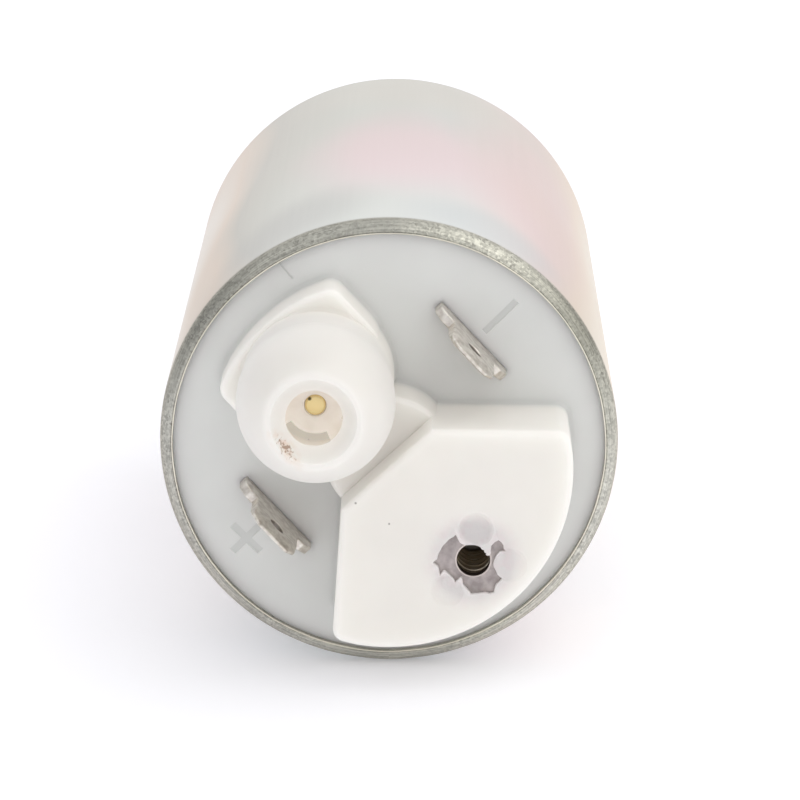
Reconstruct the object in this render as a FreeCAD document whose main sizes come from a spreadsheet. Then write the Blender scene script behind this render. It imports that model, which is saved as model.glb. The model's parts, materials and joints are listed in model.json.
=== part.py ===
import FreeCAD, Part
import math
import os
import types
import PartDesign
import Sketcher
from FreeCAD import Placement, Rotation, Vector

# In-tank electric fuel pump, lying on its side as it is photographed.
# Every piece is drawn in the pump's own axes: z runs along the can towards the outlet, x points
# from the can's axis to the outlet nozzle and y towards the positive terminal. One placement then
# lays the pump down: its outlet faces -Y and the can's lowest line is 19 mm under the origin.

os.makedirs("parts", exist_ok=True)
doc = FreeCAD.newDocument("fuel_pump")

SIZES = {
    "can_length": 65.0,
    "can_radius": 19.0,
    "can_wall": 1.0,
    "crimp_wall": 0.6,
    "crimp_roll": 1.45,
    "crimp_under": 0.6,
    "lip_reach": 1.14,
    "lip_turn": 0.95,
    "seat_gap": 0.05,
    "nozzle_angle": 132.75,
    "face_drop": 0.65,
    "cover_flange": 4.25,
    "cover_edge": 0.85,
    "skirt_length": 5.1,
    "skirt_wall": 1.75,
    "boss_height": 4.65,
    "boss_radius": 5.35,
    "boss_draft": 0.15,
    "boss_round": 0.5,
    "shaft_clear": 0.4,
    "hub_drop": 1.6,
    "nozzle_offset": 8.45,
    "nozzle_height": 16.15,
    "nozzle_radius": 6.2,
    "nozzle_bead": 0.2,
    "bead_height": 10.3,
    "bead_width": 1.1,
    "tip_radius": 4.0,
    "tip_curve": 7.5,
    "tip_land": 3.45,
    "throat_radius": 2.27,
    "throat_depth": 1.2,
    "throat_land": 0.2,
    "throat_cone": 1.3,
    "chamber_radius": 3.35,
    "valve_bore": 3.92,
    "guide_depth": 5.1,
    "foot_height": 4.6,
    "foot_half_width": 6.5,
    "foot_round": 1.8,
    "foot_taper": 2.6,
    "foot_waist": 1.0,
    "foot_blend": 3.0,
    "face_margin": 4.0,
    "block_height": 8.65,
    "block_apex": 4.95,
    "block_half_angle": 46.5,
    "block_front": 0.2,
    "block_corner": 1.25,
    "block_round": 0.35,
    "relief_offset": 10.25,
    "relief_bore": 2.1,
    "relief_hole": 1.15,
    "relief_ball": 1.75,
    "relief_seat_depth": 1.65,
    "washer_radius": 3.35,
    "washer_hole": 1.35,
    "washer_thick": 0.8,
    "washer_sink": 0.5,
    "stake_radius": 1.45,
    "stake_reach": 2.7,
    "stake_sink": 0.15,
    "stake_angle_first": -39.75,
    "stake_angle_second": 97.25,
    "stake_angle_third": 223.25,
    "blade_offset": 11.0,
    "blade_shift": 1.95,
    "blade_thick": 0.8,
    "blade_width": 4.8,
    "blade_height": 7.15,
    "blade_bevel": 0.7,
    "blade_hole": 0.7,
    "blade_hole_height": 4.6,
    "shoulder_width": 7.9,
    "shoulder_height": 2.25,
    "shoulder_depth": 2.35,
    "shoulder_bevel": 0.8,
    "leg_width": 3.0,
    "leg_drop": 4.1,
    "shaft_radius": 2.0,
    "shaft_gap": 0.03,
    "shaft_flat": 1.5,
    "bearing_radius": 3.58,
    "bearing_length": 5.0,
    "bearing_depth": 5.6,
    "brush_offset": 7.2,
    "brush_width": 4.6,
    "brush_depth": 3.8,
    "brush_length": 6.0,
    "brush_gap": 0.06,
    "brush_roof": 1.25,
    "sleeve_wall": 0.9,
    "sleeve_length": 6.7,
    "commutator_drop": 7.6,
    "commutator_radius": 9.4,
    "commutator_bore": 3.3,
    "segment_thick": 1.4,
    "segment_gap": 1.5,
    "segment_count": 8,
    "hook_reach": 0.7,
    "hook_width": 1.6,
    "hub_height": 3.3,
    "magnet_thick": 5.25,
    "air_gap": 0.7,
    "winding_gap": 0.3,
    "slot_mouth": 1.6,
    "slot_lip": 1.1,
    "slot_width": 5.5,
    "slot_root": 5.4,
    "slot_root_width": 1.6,
    "insulator_thick": 0.6,
    "winding_height": 3.4,
    "bar_gap": 0.3,
    "magnet_overhang": 3.0,
    "magnet_arc": 130.0,
    "clip_thick": 0.5,
    "clip_inset": 1.0,
    "clip_ease": 0.2,
    "clip_reach": 3.6,
    "choke_gap": 2.2,
    "choke_offset": 11.5,
    "choke_core_radius": 1.5,
    "choke_radius": 2.35,
    "choke_length": 7.0,
    "choke_seat": 1.0,
    "lead_radius": 0.3,
    "flange_depth": 2.7,
    "impeller_thick": 3.6,
    "stage_wall": 2.6,
    "impeller_gap": 0.3,
    "impeller_play": 0.05,
    "vane_rim": 0.55,
    "vane_length": 2.0,
    "vane_count": 27,
    "vane_slot": 1.7,
    "vane_rake": 0.35,
    "balance_count": 4,
    "channel_depth": 1.0,
    "channel_slope": 0.4,
    "channel_arc": 300.0,
    "port_angle": 140.0,
    "port_radius": 1.4,
    "port_depth": 1.8,
    "body_height": 9.1,
    "body_hub_radius": 5.2,
    "body_hub_height": 2.5,
    "bearing_sink": 0.2,
    "washer_play": 0.1,
    "inlet_offset": 10.5,
    "inlet_radius": 5.5,
    "inlet_bore": 3.5,
    "inlet_length": 8.0,
    "inlet_bead": 0.35,
    "inlet_bead_width": 1.2,
    "inlet_boss_radius": 4.6,
    "inlet_boss_height": 1.1,
    "inlet_boss_draft": 0.3,
    "vent_radius": 0.6,
    "pad_radius": 2.55,
    "pad_thick": 1.2,
    "pad_sink": 0.3,
    "stem_radius": 0.83,
    "stem_sink": 0.1,
    "guide_hole": 0.92,
    "guide_disc": 2.3,
    "guide_ring": 3.3,
    "guide_thick": 1.4,
    "guide_sleeve": 1.45,
    "guide_sleeve_length": 2.6,
    "spoke_count": 3,
    "spoke_arc": 40.0,
    "spoke_angle": 60.0,
    "valve_head_radius": 2.7,
    "valve_head_thick": 1.1,
    "seal_radius": 2.5,
    "seal_thick": 0.8,
    "seat_hole": 1.8,
    "seat_thick": 2.0,
    "seat_level": 3.4,
    "check_wire": 0.36,
    "check_coil": 1.85,
    "check_turns": 3.0,
    "relief_wire": 0.36,
    "relief_coil": 1.35,
    "relief_turns": 5.0,
    "brush_wire": 0.34,
    "brush_coil": 1.5,
    "brush_turns": 3.0,
    "spring_seat": 0.02,
}

sheet = doc.addObject("Spreadsheet::Sheet", "sizes")
for row, (name, value) in enumerate(SIZES.items(), start=1):
    sheet.set(f"A{row}", name)
    sheet.set(f"B{row}", str(value))
    sheet.setAlias(f"B{row}", name)
doc.recompute()


class Size:
    """A size: its value, and the expression on the sheet's cells that gives it."""

    def __init__(self, value, text):
        self.value = value
        self.text = text

    def __add__(self, other):
        other = as_size(other)
        return Size(self.value + other.value, f"({self.text} + {other.text})")

    def __sub__(self, other):
        other = as_size(other)
        return Size(self.value - other.value, f"({self.text} - {other.text})")

    def __mul__(self, other):
        other = as_size(other)
        return Size(self.value * other.value, f"({self.text} * {other.text})")

    def __truediv__(self, other):
        other = as_size(other)
        return Size(self.value / other.value, f"({self.text} / {other.text})")

    def __neg__(self):
        return Size(-self.value, f"(0 - {self.text})")


def as_size(thing):
    return thing if isinstance(thing, Size) else Size(float(thing), repr(float(thing)))


def root(size):
    return Size(math.sqrt(size.value), f"sqrt({size.text})")


def cosine(angle):
    return Size(math.cos(math.radians(angle.value)), f"cos({angle.text})")


def sine(angle):
    return Size(math.sin(math.radians(angle.value)), f"sin({angle.text})")


def tangent(angle):
    return Size(math.tan(math.radians(angle.value)), f"tan({angle.text})")


def polar(radius, angle):
    """The point at a radius and an angle about the pump's axis."""
    return radius * cosine(angle), radius * sine(angle)


s = types.SimpleNamespace(**{name: Size(value, f"sizes.{name}") for name, value in SIZES.items()})

# Levels along the pump's axis, from the can's middle.
half = s.can_length / 2
face = half - s.face_drop
outlet_seat = face - s.cover_flange
skirt_end = outlet_seat - s.skirt_length
inlet_face = -face
inlet_split = -outlet_seat
inlet_seat = inlet_split + s.flange_depth
block_top = face + s.block_height
nozzle_top = face + s.nozzle_height
bearing_top = outlet_seat + s.bearing_depth
commutator_level = outlet_seat - s.commutator_drop
hub_top = commutator_level - s.segment_thick
head_height = s.insulator_thick + s.winding_height + s.winding_gap
core_top = hub_top - s.hub_height - head_height
shaft_top = bearing_top + s.boss_round
pad_top = inlet_split - s.pad_sink
shaft_end = pad_top + s.impeller_play
body_top = inlet_split + s.body_height
body_hub = body_top + s.body_hub_height
washer_low = body_hub + s.washer_play
core_end = washer_low + s.insulator_thick + head_height
core_length = core_top - core_end
washer_top = block_top - s.washer_sink
washer_seat = washer_top - s.washer_thick
relief_seat = face - s.relief_seat_depth
guide_top = nozzle_top - s.guide_depth
stem_top = guide_top - s.stem_sink
seat_top = face + s.seat_level

# Radii and offsets that several pieces share.
can_bore = s.can_radius - s.can_wall
crimp_bore = s.can_radius - s.crimp_wall
case_radius = can_bore - s.seat_gap
flange_radius = crimp_bore - s.seat_gap
bearing_pocket = s.bearing_radius + s.seat_gap
bearing_bore = s.shaft_radius + s.shaft_gap
press_bore = s.shaft_radius + s.seat_gap / 2
lip_inner = s.can_radius - s.lip_reach
lip_outer = s.can_radius - s.lip_turn
face_ring = s.can_radius - s.face_margin
magnet_inner = case_radius - s.magnet_thick
core_radius = magnet_inner - s.air_gap
impeller_radius = case_radius - s.stage_wall - s.impeller_gap
vane_outer = impeller_radius - s.vane_rim
vane_inner = vane_outer - s.vane_length
choke_shift = s.brush_width / 2 + s.sleeve_wall + s.choke_gap

LAID_DOWN = Placement(
    Vector(0, 0, 0),
    Rotation(Vector(1, 0, 0), 90).multiply(Rotation(Vector(0, 0, 1), SIZES["nozzle_angle"])),
)
nodes = []


def bind(thing, prop, size):
    """Tie a property to the sheet."""
    thing.setExpression(prop, as_size(size).text)


def new_body(name):
    body = doc.addObject("PartDesign::Body", name)
    body.Label = name
    nodes.append(body)
    return body


def origin_part(body, role):
    return next(part for part in body.Origin.OriginFeatures if part.Role == role)


def sketch_on(body, name, plane="XY_Plane", shift=None, level=None):
    """A sketch on one of the body's own planes, moved along its first axis or its normal."""
    sketch = body.newObject("Sketcher::SketchObject", name)
    sketch.AttachmentSupport = [(origin_part(body, plane), "")]
    sketch.MapMode = "FlatFace"
    if shift is not None:
        bind(sketch, "AttachmentOffset.Base.x", shift)
    if level is not None:
        bind(sketch, "AttachmentOffset.Base.z", level)
    return sketch


def pin_point(sketch, piece, point, place):
    """Hold a point of the sketch at its two distances from the sketch's origin."""
    for kind, axis, size in (("DistanceX", -2, place[0]), ("DistanceY", -1, place[1])):
        if not isinstance(size, Size):
            sketch.addConstraint(Sketcher.Constraint("PointOnObject", piece, point, axis))
            continue
        index = sketch.addConstraint(Sketcher.Constraint(kind, -1, 1, piece, point, size.value))
        bind(sketch, f"Constraints[{index}]", size)


def hold_radius(sketch, piece, size):
    index = sketch.addConstraint(Sketcher.Constraint("Radius", piece, size.value))
    bind(sketch, f"Constraints[{index}]", size)


def circle(sketch, place, radius):
    """A circle round a place; a plain 0 in the place means on that axis."""
    centre = Vector(*(as_size(size).value for size in place), 0)
    piece = sketch.addGeometry(Part.Circle(centre, Vector(0, 0, 1), radius.value))
    if isinstance(place[0], Size) or isinstance(place[1], Size):
        pin_point(sketch, piece, 3, place)
    else:
        sketch.addConstraint(Sketcher.Constraint("Coincident", piece, 3, -1, 1))
    hold_radius(sketch, piece, radius)


def outline(sketch, corners):
    """A closed outline. A corner is (x, y), or (x, y, radius, side) when an arc leads to it:
    side is 1 where the arc's centre is on the left of the way to the corner, -1 on the right."""
    points = [Vector(*(as_size(size).value for size in corner[:2]), 0) for corner in corners]
    ends = []
    for index, corner in enumerate(corners):
        start = points[index - 1]
        end = points[index]
        if len(corner) == 2:
            piece = sketch.addGeometry(Part.LineSegment(start, end))
            ends.append((piece, 1, 2))
            continue
        radius, side = corner[2:]
        chord = end - start
        across = Vector(-chord.y, chord.x, 0).normalize() * side
        centre = (start + end) * 0.5 + across * math.sqrt(radius.value ** 2 - chord.Length ** 2 / 4)
        angles = [math.atan2(p.y - centre.y, p.x - centre.x) for p in (start, end)]
        ring = Part.Circle(centre, Vector(0, 0, 1), radius.value)
        piece = sketch.addGeometry(Part.ArcOfCircle(ring, *angles[::side]))
        ends.append((piece, 1, 2) if side > 0 else (piece, 2, 1))
        hold_radius(sketch, piece, radius)
    for index, (piece, first, last) in enumerate(ends):
        following = ends[(index + 1) % len(ends)]
        sketch.addConstraint(
            Sketcher.Constraint("Coincident", piece, last, following[0], following[1])
        )
        pin_point(sketch, piece, last, corners[index])


def box_outline(sketch, centre, size):
    """A rectangle from its centre and its two side lengths."""
    low = [as_size(c) - length / 2 for c, length in zip(centre, size)]
    high = [as_size(c) + length / 2 for c, length in zip(centre, size)]
    outline(sketch, [(low[0], low[1]), (high[0], low[1]), (high[0], high[1]), (low[0], high[1])])


def feature(body, kind, name, sketch, **settings):
    """A feature on a sketch; a setting that is a Size is tied to the sheet."""
    made = body.newObject(f"PartDesign::{kind}", name)
    made.Profile = sketch
    sketch.Visibility = False
    for prop, setting in settings.items():
        if isinstance(setting, Size):
            bind(made, prop, setting)
        else:
            setattr(made, prop, setting)
    return made


def pad(body, name, sketch, length, **settings):
    return feature(body, "Pad", name, sketch, Length=length, **settings)


def pocket(body, name, sketch, length, **settings):
    """A cut that runs from the sketch down the pump's axis, or up it where Reversed is set."""
    return feature(body, "Pocket", name, sketch, Length=length, **settings)


def spin(body, kind, name, sketch, angle=360.0, **settings):
    """A revolution or groove about the sketch's own upright axis."""
    return feature(
        body, kind, name, sketch, ReferenceAxis=(sketch, ["V_Axis"]), Angle=angle, **settings
    )


def repeat(body, name, originals, count):
    """Copies of the features all round the pump's axis."""
    pattern = body.newObject("PartDesign::PolarPattern", name)
    pattern.Originals = originals
    pattern.Axis = (origin_part(body, "Z_Axis"), [""])
    pattern.Angle = 360
    bind(pattern, "Occurrences", count)
    body.Tip = pattern
    return pattern


def soften(body, kind, name, size, wanted):
    """A fillet or chamfer on the edges of the body's last feature that a test picks."""
    doc.recompute()
    base = body.Tip
    names = [f"Edge{i}" for i, edge in enumerate(base.Shape.Edges, start=1) if wanted(edge)]
    if not names:
        raise ValueError(f"{body.Label}: no edge for {name}")
    made = body.newObject(f"PartDesign::{kind}", name)
    made.Base = (base, names)
    bind(made, "Radius" if kind == "Fillet" else "Size", size)
    return made


def upright_at(*places):
    """A test for edges that run along the axis through one of the places."""
    spots = [Vector(*(as_size(size).value for size in place), 0) for place in places]

    def wanted(edge):
        ends = [vertex.Point for vertex in edge.Vertexes]
        if len(ends) != 2 or Vector(ends[0].x - ends[1].x, ends[0].y - ends[1].y, 0).Length > 0.01:
            return False
        return any(Vector(ends[0].x, ends[0].y, 0).distanceToPoint(spot) < 0.01 for spot in spots)

    return wanted


def turned(name, corners):
    """A body that is one turned outline."""
    body = new_body(name)
    sketch = sketch_on(body, f"{name}_outline", "XZ_Plane")
    outline(sketch, corners)
    spin(body, "Revolution", f"{name}_turn", sketch)
    return body


def ring(name, inner, outer, bottom, top):
    """A plain turned ring."""
    return turned(name, [(inner, bottom), (outer, bottom), (outer, top), (inner, top)])


def make_can():
    """Drawn steel tube; both ends are thinned inside and rolled over the end covers."""
    roll_start = half - s.crimp_roll
    reach = s.lip_turn
    roll = (reach * reach + s.crimp_roll * s.crimp_roll) / (reach * 2)
    lip_under = half - s.crimp_under
    turned("motor_can", [
        (s.can_radius, -roll_start),
        (s.can_radius, roll_start),
        (lip_outer, half, roll, 1),
        (lip_inner, half),
        (lip_inner, lip_under),
        (crimp_bore, roll_start),
        (crimp_bore, outlet_seat),
        (can_bore, outlet_seat),
        (can_bore, inlet_seat),
        (crimp_bore, inlet_seat),
        (crimp_bore, -roll_start),
        (lip_inner, -lip_under),
        (lip_inner, -half),
        (lip_outer, -half),
    ])


def make_outlet_cover():
    """Moulded outlet cover: nozzle, relief valve block, bearing boss and brush sleeves."""
    boss_top = face + s.boss_height
    hub_end = outlet_seat - s.hub_drop
    hub_radius = bearing_pocket + s.skirt_wall
    skirt_inner = case_radius - s.skirt_wall
    body = turned("outlet_cover", [
        (0, boss_top),
        (s.boss_radius - s.boss_draft, boss_top),
        (s.boss_radius, face),
        (flange_radius - s.cover_edge, face),
        (flange_radius, face - s.cover_edge),
        (flange_radius, outlet_seat),
        (case_radius, outlet_seat),
        (case_radius, skirt_end),
        (skirt_inner, skirt_end),
        (skirt_inner, outlet_seat),
        (hub_radius, outlet_seat),
        (hub_radius, hub_end),
        (0, hub_end),
    ])
    boss_edge = (s.boss_radius - s.boss_draft).value
    soften(body, "Fillet", "boss_edge", s.boss_round, lambda edge: (
        hasattr(edge.Curve, "Radius") and abs(edge.Curve.Radius - boss_edge) < 0.001
        and abs(edge.Curve.Center.z - boss_top.value) < 0.001
    ))

    # The relief valve block is a wedge with its outer side on the face ring.
    slope = tangent(s.block_half_angle)
    front = slope * (s.block_apex - s.block_front)
    along = s.block_apex * cosine(s.block_half_angle)
    across = s.block_apex * sine(s.block_half_angle)
    reach = along + root(face_ring * face_ring - across * across)
    corner = (s.block_apex - reach * cosine(s.block_half_angle), reach * sine(s.block_half_angle))
    sketch = sketch_on(body, "block_outline", level=face)
    outline(sketch, [
        (s.block_front, -front),
        (s.block_front, front),
        corner,
        (corner[0], -corner[1], face_ring, 1),
    ])
    pad(body, "block", sketch, s.block_height)
    soften(body, "Fillet", "block_corners", s.block_corner,
           upright_at(corner, (corner[0], -corner[1])))
    top = block_top.value
    soften(body, "Fillet", "block_edge", s.block_round, lambda edge: all(
        abs(vertex.Z - top) < 0.001 for vertex in edge.Vertexes))

    # The nozzle stands on a flat foot that reaches out to the face ring.
    sketch = sketch_on(body, "foot_outline", level=face)
    foot_end = root(face_ring * face_ring - s.foot_half_width * s.foot_half_width)
    waist = s.nozzle_radius - s.foot_waist
    outline(sketch, [
        (s.nozzle_offset - s.foot_taper, -waist),
        (s.nozzle_offset, -s.foot_half_width),
        (foot_end, -s.foot_half_width),
        (foot_end, s.foot_half_width, face_ring, 1),
        (s.nozzle_offset, s.foot_half_width),
        (s.nozzle_offset - s.foot_taper, waist),
    ])
    pad(body, "foot", sketch, s.foot_height)
    soften(body, "Fillet", "foot_corners", s.foot_round,
           upright_at((foot_end, s.foot_half_width), (foot_end, -s.foot_half_width)))
    soften(body, "Fillet", "foot_sides", s.foot_blend, upright_at(
        (s.nozzle_offset, s.foot_half_width), (s.nozzle_offset, -s.foot_half_width)))
    bead = s.nozzle_radius + s.nozzle_bead
    bead_top = face + s.bead_height
    bead_end = bead_top - s.bead_width
    sketch = sketch_on(body, "nozzle_outline", "XZ_Plane", shift=s.nozzle_offset)
    outline(sketch, [
        (0, face),
        (s.nozzle_radius, face),
        (s.nozzle_radius, bead_end - s.nozzle_bead),
        (bead, bead_end),
        (bead, bead_top),
        (s.tip_radius, nozzle_top, s.tip_curve, 1),
        (0, nozzle_top),
    ])
    spin(body, "Revolution", "nozzle", sketch)

    sketch = sketch_on(body, "nozzle_bore_outline", "XZ_Plane", shift=s.nozzle_offset)
    land_top = nozzle_top - s.throat_depth
    land_end = land_top - s.throat_land
    outline(sketch, [
        (0, skirt_end),
        (s.valve_bore, skirt_end),
        (s.valve_bore, guide_top),
        (s.chamber_radius, guide_top),
        (s.chamber_radius, land_end - s.throat_cone),
        (s.throat_radius, land_end),
        (s.throat_radius, land_top),
        (s.tip_land, nozzle_top),
        (s.tip_land, nozzle_top + 1),
        (0, nozzle_top + 1),
    ])
    spin(body, "Groove", "nozzle_bore", sketch)

    # The bearing's pocket, open below, with room over it for the end of the shaft.
    shaft_room = shaft_top + s.boss_round
    sketch = sketch_on(body, "bearing_outline", "XZ_Plane")
    outline(sketch, [
        (0, skirt_end),
        (bearing_pocket, skirt_end),
        (bearing_pocket, bearing_top),
        (s.shaft_radius + s.shaft_clear, bearing_top),
        (s.shaft_radius + s.shaft_clear, shaft_room),
        (0, shaft_room),
    ])
    spin(body, "Groove", "bearing_seat", sketch)

    # The relief bore: a small hole, the ball's cone, the spring's bore and the washer's seat.
    cone = s.relief_bore - s.relief_hole
    sketch = sketch_on(body, "relief_outline", "XZ_Plane", shift=-s.relief_offset)
    outline(sketch, [
        (0, skirt_end),
        (s.relief_hole, skirt_end),
        (s.relief_hole, relief_seat),
        (s.relief_bore, relief_seat + cone),
        (s.relief_bore, washer_seat),
        (s.washer_radius + s.seat_gap, washer_seat),
        (s.washer_radius + s.seat_gap, block_top + 1),
        (0, block_top + 1),
    ])
    spin(body, "Groove", "relief_bore", sketch)

    # Three punch marks: each sinks the block's top a little and swages plastic over the washer.
    stakes = stake_places()
    sketch = sketch_on(body, "punch_outline", level=block_top)
    for place in stakes:
        circle(sketch, place, s.stake_radius)
    pocket(body, "punch_marks", sketch, s.stake_sink)
    sketch = sketch_on(body, "stake_outline", level=washer_top)
    for place in stakes:
        circle(sketch, place, s.stake_radius)
    pad(body, "stakes", sketch, s.washer_sink - s.stake_sink)

    # Brush sleeves under the plate, each with a slot for its lead.
    brush = (s.brush_width + s.brush_gap * 2, s.brush_depth + s.brush_gap * 2)
    wall = s.sleeve_wall * 2
    sketch = sketch_on(body, "sleeve_outline", level=outlet_seat - s.sleeve_length)
    for side in (1, -1):
        box_outline(sketch, (0, s.brush_offset * side), (brush[0] + wall, brush[1] + wall))
    pad(body, "sleeves", sketch, s.sleeve_length)
    sketch = sketch_on(body, "brush_bore_outline", level=face - s.brush_roof)
    for side in (1, -1):
        box_outline(sketch, (0, s.brush_offset * side), brush)
    pocket(body, "brush_bores", sketch, s.sleeve_length + s.cover_flange)
    sketch = sketch_on(body, "lead_slot_outline", level=outlet_seat)
    outer = s.brush_offset + brush[1] / 2 + s.sleeve_wall / 2
    for side in (1, -1):
        box_outline(sketch, (-s.lead_radius * 2, outer * side), (s.lead_radius * 5, s.sleeve_wall * 2))
    pocket(body, "lead_slots", sketch, s.sleeve_length + 1)

    # Terminal slots: wide for the shoulders, narrow for the leg.
    blade = s.blade_thick + s.seat_gap * 2
    sketch = sketch_on(body, "shoulder_slot_outline", level=face)
    for side in (1, -1):
        box_outline(sketch, (s.blade_shift, s.blade_offset * side),
                    (s.shoulder_width + s.seat_gap * 2, blade))
    pocket(body, "shoulder_slots", sketch, s.shoulder_depth)
    sketch = sketch_on(body, "leg_slot_outline", level=face)
    for side in (1, -1):
        box_outline(sketch, (s.blade_shift, s.blade_offset * side),
                    (s.leg_width + s.seat_gap * 2, blade))
    pocket(body, "leg_slots", sketch, s.cover_flange + 1)

    # Blind seats for the two choke cores.
    sketch = sketch_on(body, "choke_seat_outline", level=outlet_seat + s.choke_seat)
    for side in (1, -1):
        circle(sketch, (-choke_shift, s.choke_offset * side), s.choke_core_radius + s.seat_gap)
    pocket(body, "choke_seats", sketch, s.choke_seat + 1)


def stake_places():
    """Centres of the three punch marks round the relief valve's hole."""
    places = []
    for angle in (s.stake_angle_first, s.stake_angle_second, s.stake_angle_third):
        across, up = polar(s.stake_reach, angle)
        places.append((across - s.relief_offset, up))
    return places


def make_terminal(name, side):
    """Tinned blade terminal with shoulders, a detent hole and a leg through the cover."""
    body = new_body(name)
    sketch = sketch_on(body, f"{name}_outline", "XZ_Plane", shift=s.blade_shift,
                       level=-s.blade_offset * side - s.blade_thick / 2)
    tip = face + s.blade_height
    shoulder = face + s.shoulder_height
    blade = s.blade_width / 2
    wide = s.shoulder_width / 2
    leg = s.leg_width / 2
    leg_end = outlet_seat - s.leg_drop
    right = [
        (leg, leg_end),
        (leg, face - s.shoulder_depth),
        (wide, face - s.shoulder_depth),
        (wide, shoulder - s.shoulder_bevel),
        (wide - s.shoulder_bevel, shoulder),
        (blade, shoulder),
        (blade, tip - s.blade_bevel * 2),
        (blade - s.blade_bevel, tip),
    ]
    left = [(-across, level) for across, level in reversed(right)]
    outline(sketch, right + left)
    pad(body, f"{name}_blade", sketch, s.blade_thick)
    sketch = sketch_on(body, f"{name}_hole_outline", "XZ_Plane", shift=s.blade_shift,
                       level=-s.blade_offset * side - s.blade_thick)
    circle(sketch, (0, face + s.blade_hole_height), s.blade_hole)
    pocket(body, f"{name}_hole", sketch, s.blade_thick * 2, Reversed=True)


def make_check_valve():
    """Guide, seat, stem with its head, and seal of the outlet's check valve."""
    sleeve_end = guide_top - s.guide_thick - s.guide_sleeve_length
    guide = turned("check_valve_guide", [
        (s.guide_hole, sleeve_end),
        (s.guide_sleeve, sleeve_end),
        (s.guide_sleeve, guide_top - s.guide_thick),
        (s.valve_bore - s.seat_gap, guide_top - s.guide_thick),
        (s.valve_bore - s.seat_gap, guide_top),
        (s.guide_hole, guide_top),
    ])
    first = s.spoke_angle + s.spoke_arc / 2
    last = s.spoke_angle - s.spoke_arc / 2 + as_size(360) / s.spoke_count
    sketch = sketch_on(guide, "window_outline", level=guide_top, shift=0)
    outline(sketch, [
        (*polar(s.guide_disc, first), s.guide_disc, -1),
        polar(s.guide_ring, first),
        (*polar(s.guide_ring, last), s.guide_ring, 1),
        polar(s.guide_disc, last),
    ])
    window = pocket(guide, "window", sketch, s.guide_thick)
    repeat(guide, "windows", [window], s.spoke_count)

    ring("check_valve_seat", s.seat_hole, s.valve_bore - s.seat_gap, seat_top - s.seat_thick, seat_top)
    seal_bottom = seat_top + s.seat_gap
    seal_top = seal_bottom + s.seal_thick
    ring("check_valve_seal", s.stem_radius + s.seat_gap, s.seal_radius, seal_bottom, seal_top)
    head_top = seal_top + s.valve_head_thick
    turned("check_valve_stem", [
        (0, seal_bottom - s.seal_thick),
        (s.stem_radius, seal_bottom - s.seal_thick),
        (s.stem_radius, seal_top),
        (s.valve_head_radius, seal_top),
        (s.valve_head_radius, head_top),
        (s.stem_radius, head_top),
        (s.stem_radius, stem_top),
        (0, stem_top),
    ])
    return head_top, guide_top - s.guide_thick


def shift_to_nozzle(names):
    """The check valve is drawn on its own axis and stands in the nozzle."""
    step = Placement(Vector(SIZES["nozzle_offset"], 0, 0), Rotation())
    for body in nodes:
        if body.Label in names:
            body.Placement = step


def make_relief_valve():
    """Ball and washer of the pressure relief valve; its spring is wound further down."""
    ball = new_body("relief_valve_ball")
    contact = s.relief_ball * cosine(as_size(45))
    centre = relief_seat + (contact - s.relief_hole) + contact + s.seat_gap
    sketch = sketch_on(ball, "ball_outline", "XZ_Plane", shift=-s.relief_offset)
    outline(sketch, [
        (0, centre - s.relief_ball),
        (s.relief_ball, centre, s.relief_ball, 1),
        (0, centre + s.relief_ball, s.relief_ball, 1),
    ])
    spin(ball, "Revolution", "ball", sketch)

    washer = new_body("relief_valve_washer")
    sketch = sketch_on(washer, "washer_outline", level=washer_seat)
    circle(sketch, (-s.relief_offset, 0), s.washer_radius)
    circle(sketch, (-s.relief_offset, 0), s.washer_hole)
    pad(washer, "washer", sketch, s.washer_thick)
    reach = s.relief_ball + s.relief_wire / 2
    spring_bottom = centre + root(reach * reach - s.relief_coil * s.relief_coil)
    return spring_bottom


def biarc(start, start_way, end, end_way):
    """Two tangent arcs between two points with given directions."""
    gap = end - start
    ways = start_way + end_way
    square = 2 * (start_way.dot(end_way) - 1)
    slope = gap.dot(ways)
    if abs(square) < 1e-9:
        reach = gap.dot(gap) / (2 * slope)
    else:
        reach = (slope - math.sqrt(slope ** 2 - square * gap.dot(gap))) / square
    first = start + start_way * reach
    second = end - end_way * reach
    joint = (first + second) * 0.5
    arcs = []
    for low, corner, high in ((start, first, joint), (joint, second, end)):
        turn = (corner - low).getAngle(high - corner)
        weight = math.cos(turn / 2)
        middle = (low + high + corner * (2 * weight)) * (1 / (2 * (1 + weight)))
        arcs.append(Part.Arc(low, middle, high).toShape())
    return arcs


def tube(name, edges, start, way, radius, sides=6):
    """A wire swept along joined arcs, its section a polygon as large as the round wire."""
    across = way.cross(Vector(0, 0, 1)).normalize()
    upward = across.cross(way)
    reach = radius / math.sqrt(math.cos(math.pi / sides))
    corners = []
    for index in range(sides + 1):
        angle = 2 * math.pi * (index % sides + 0.5) / sides
        corners.append(start + across * (reach * math.cos(angle)) + upward * (reach * math.sin(angle)))
    shell = Part.BRepOffsetAPI.MakePipeShell(Part.Wire(edges))
    shell.add(Part.makePolygon(corners))
    shell.build()
    shell.makeSolid()
    piece = doc.addObject("Part::Feature", name)
    piece.Label = name
    piece.Shape = shell.shape()
    nodes.append(piece)
    return piece


def helix_point(radius, pitch, turns):
    """Place and direction on a helix about the z axis after some turns."""
    angle = 2 * math.pi * turns
    place = Vector(radius * math.cos(angle), radius * math.sin(angle), pitch * turns)
    way = Vector(-math.sin(angle), math.cos(angle), pitch / (2 * math.pi * radius))
    return place, way.normalize()


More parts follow.
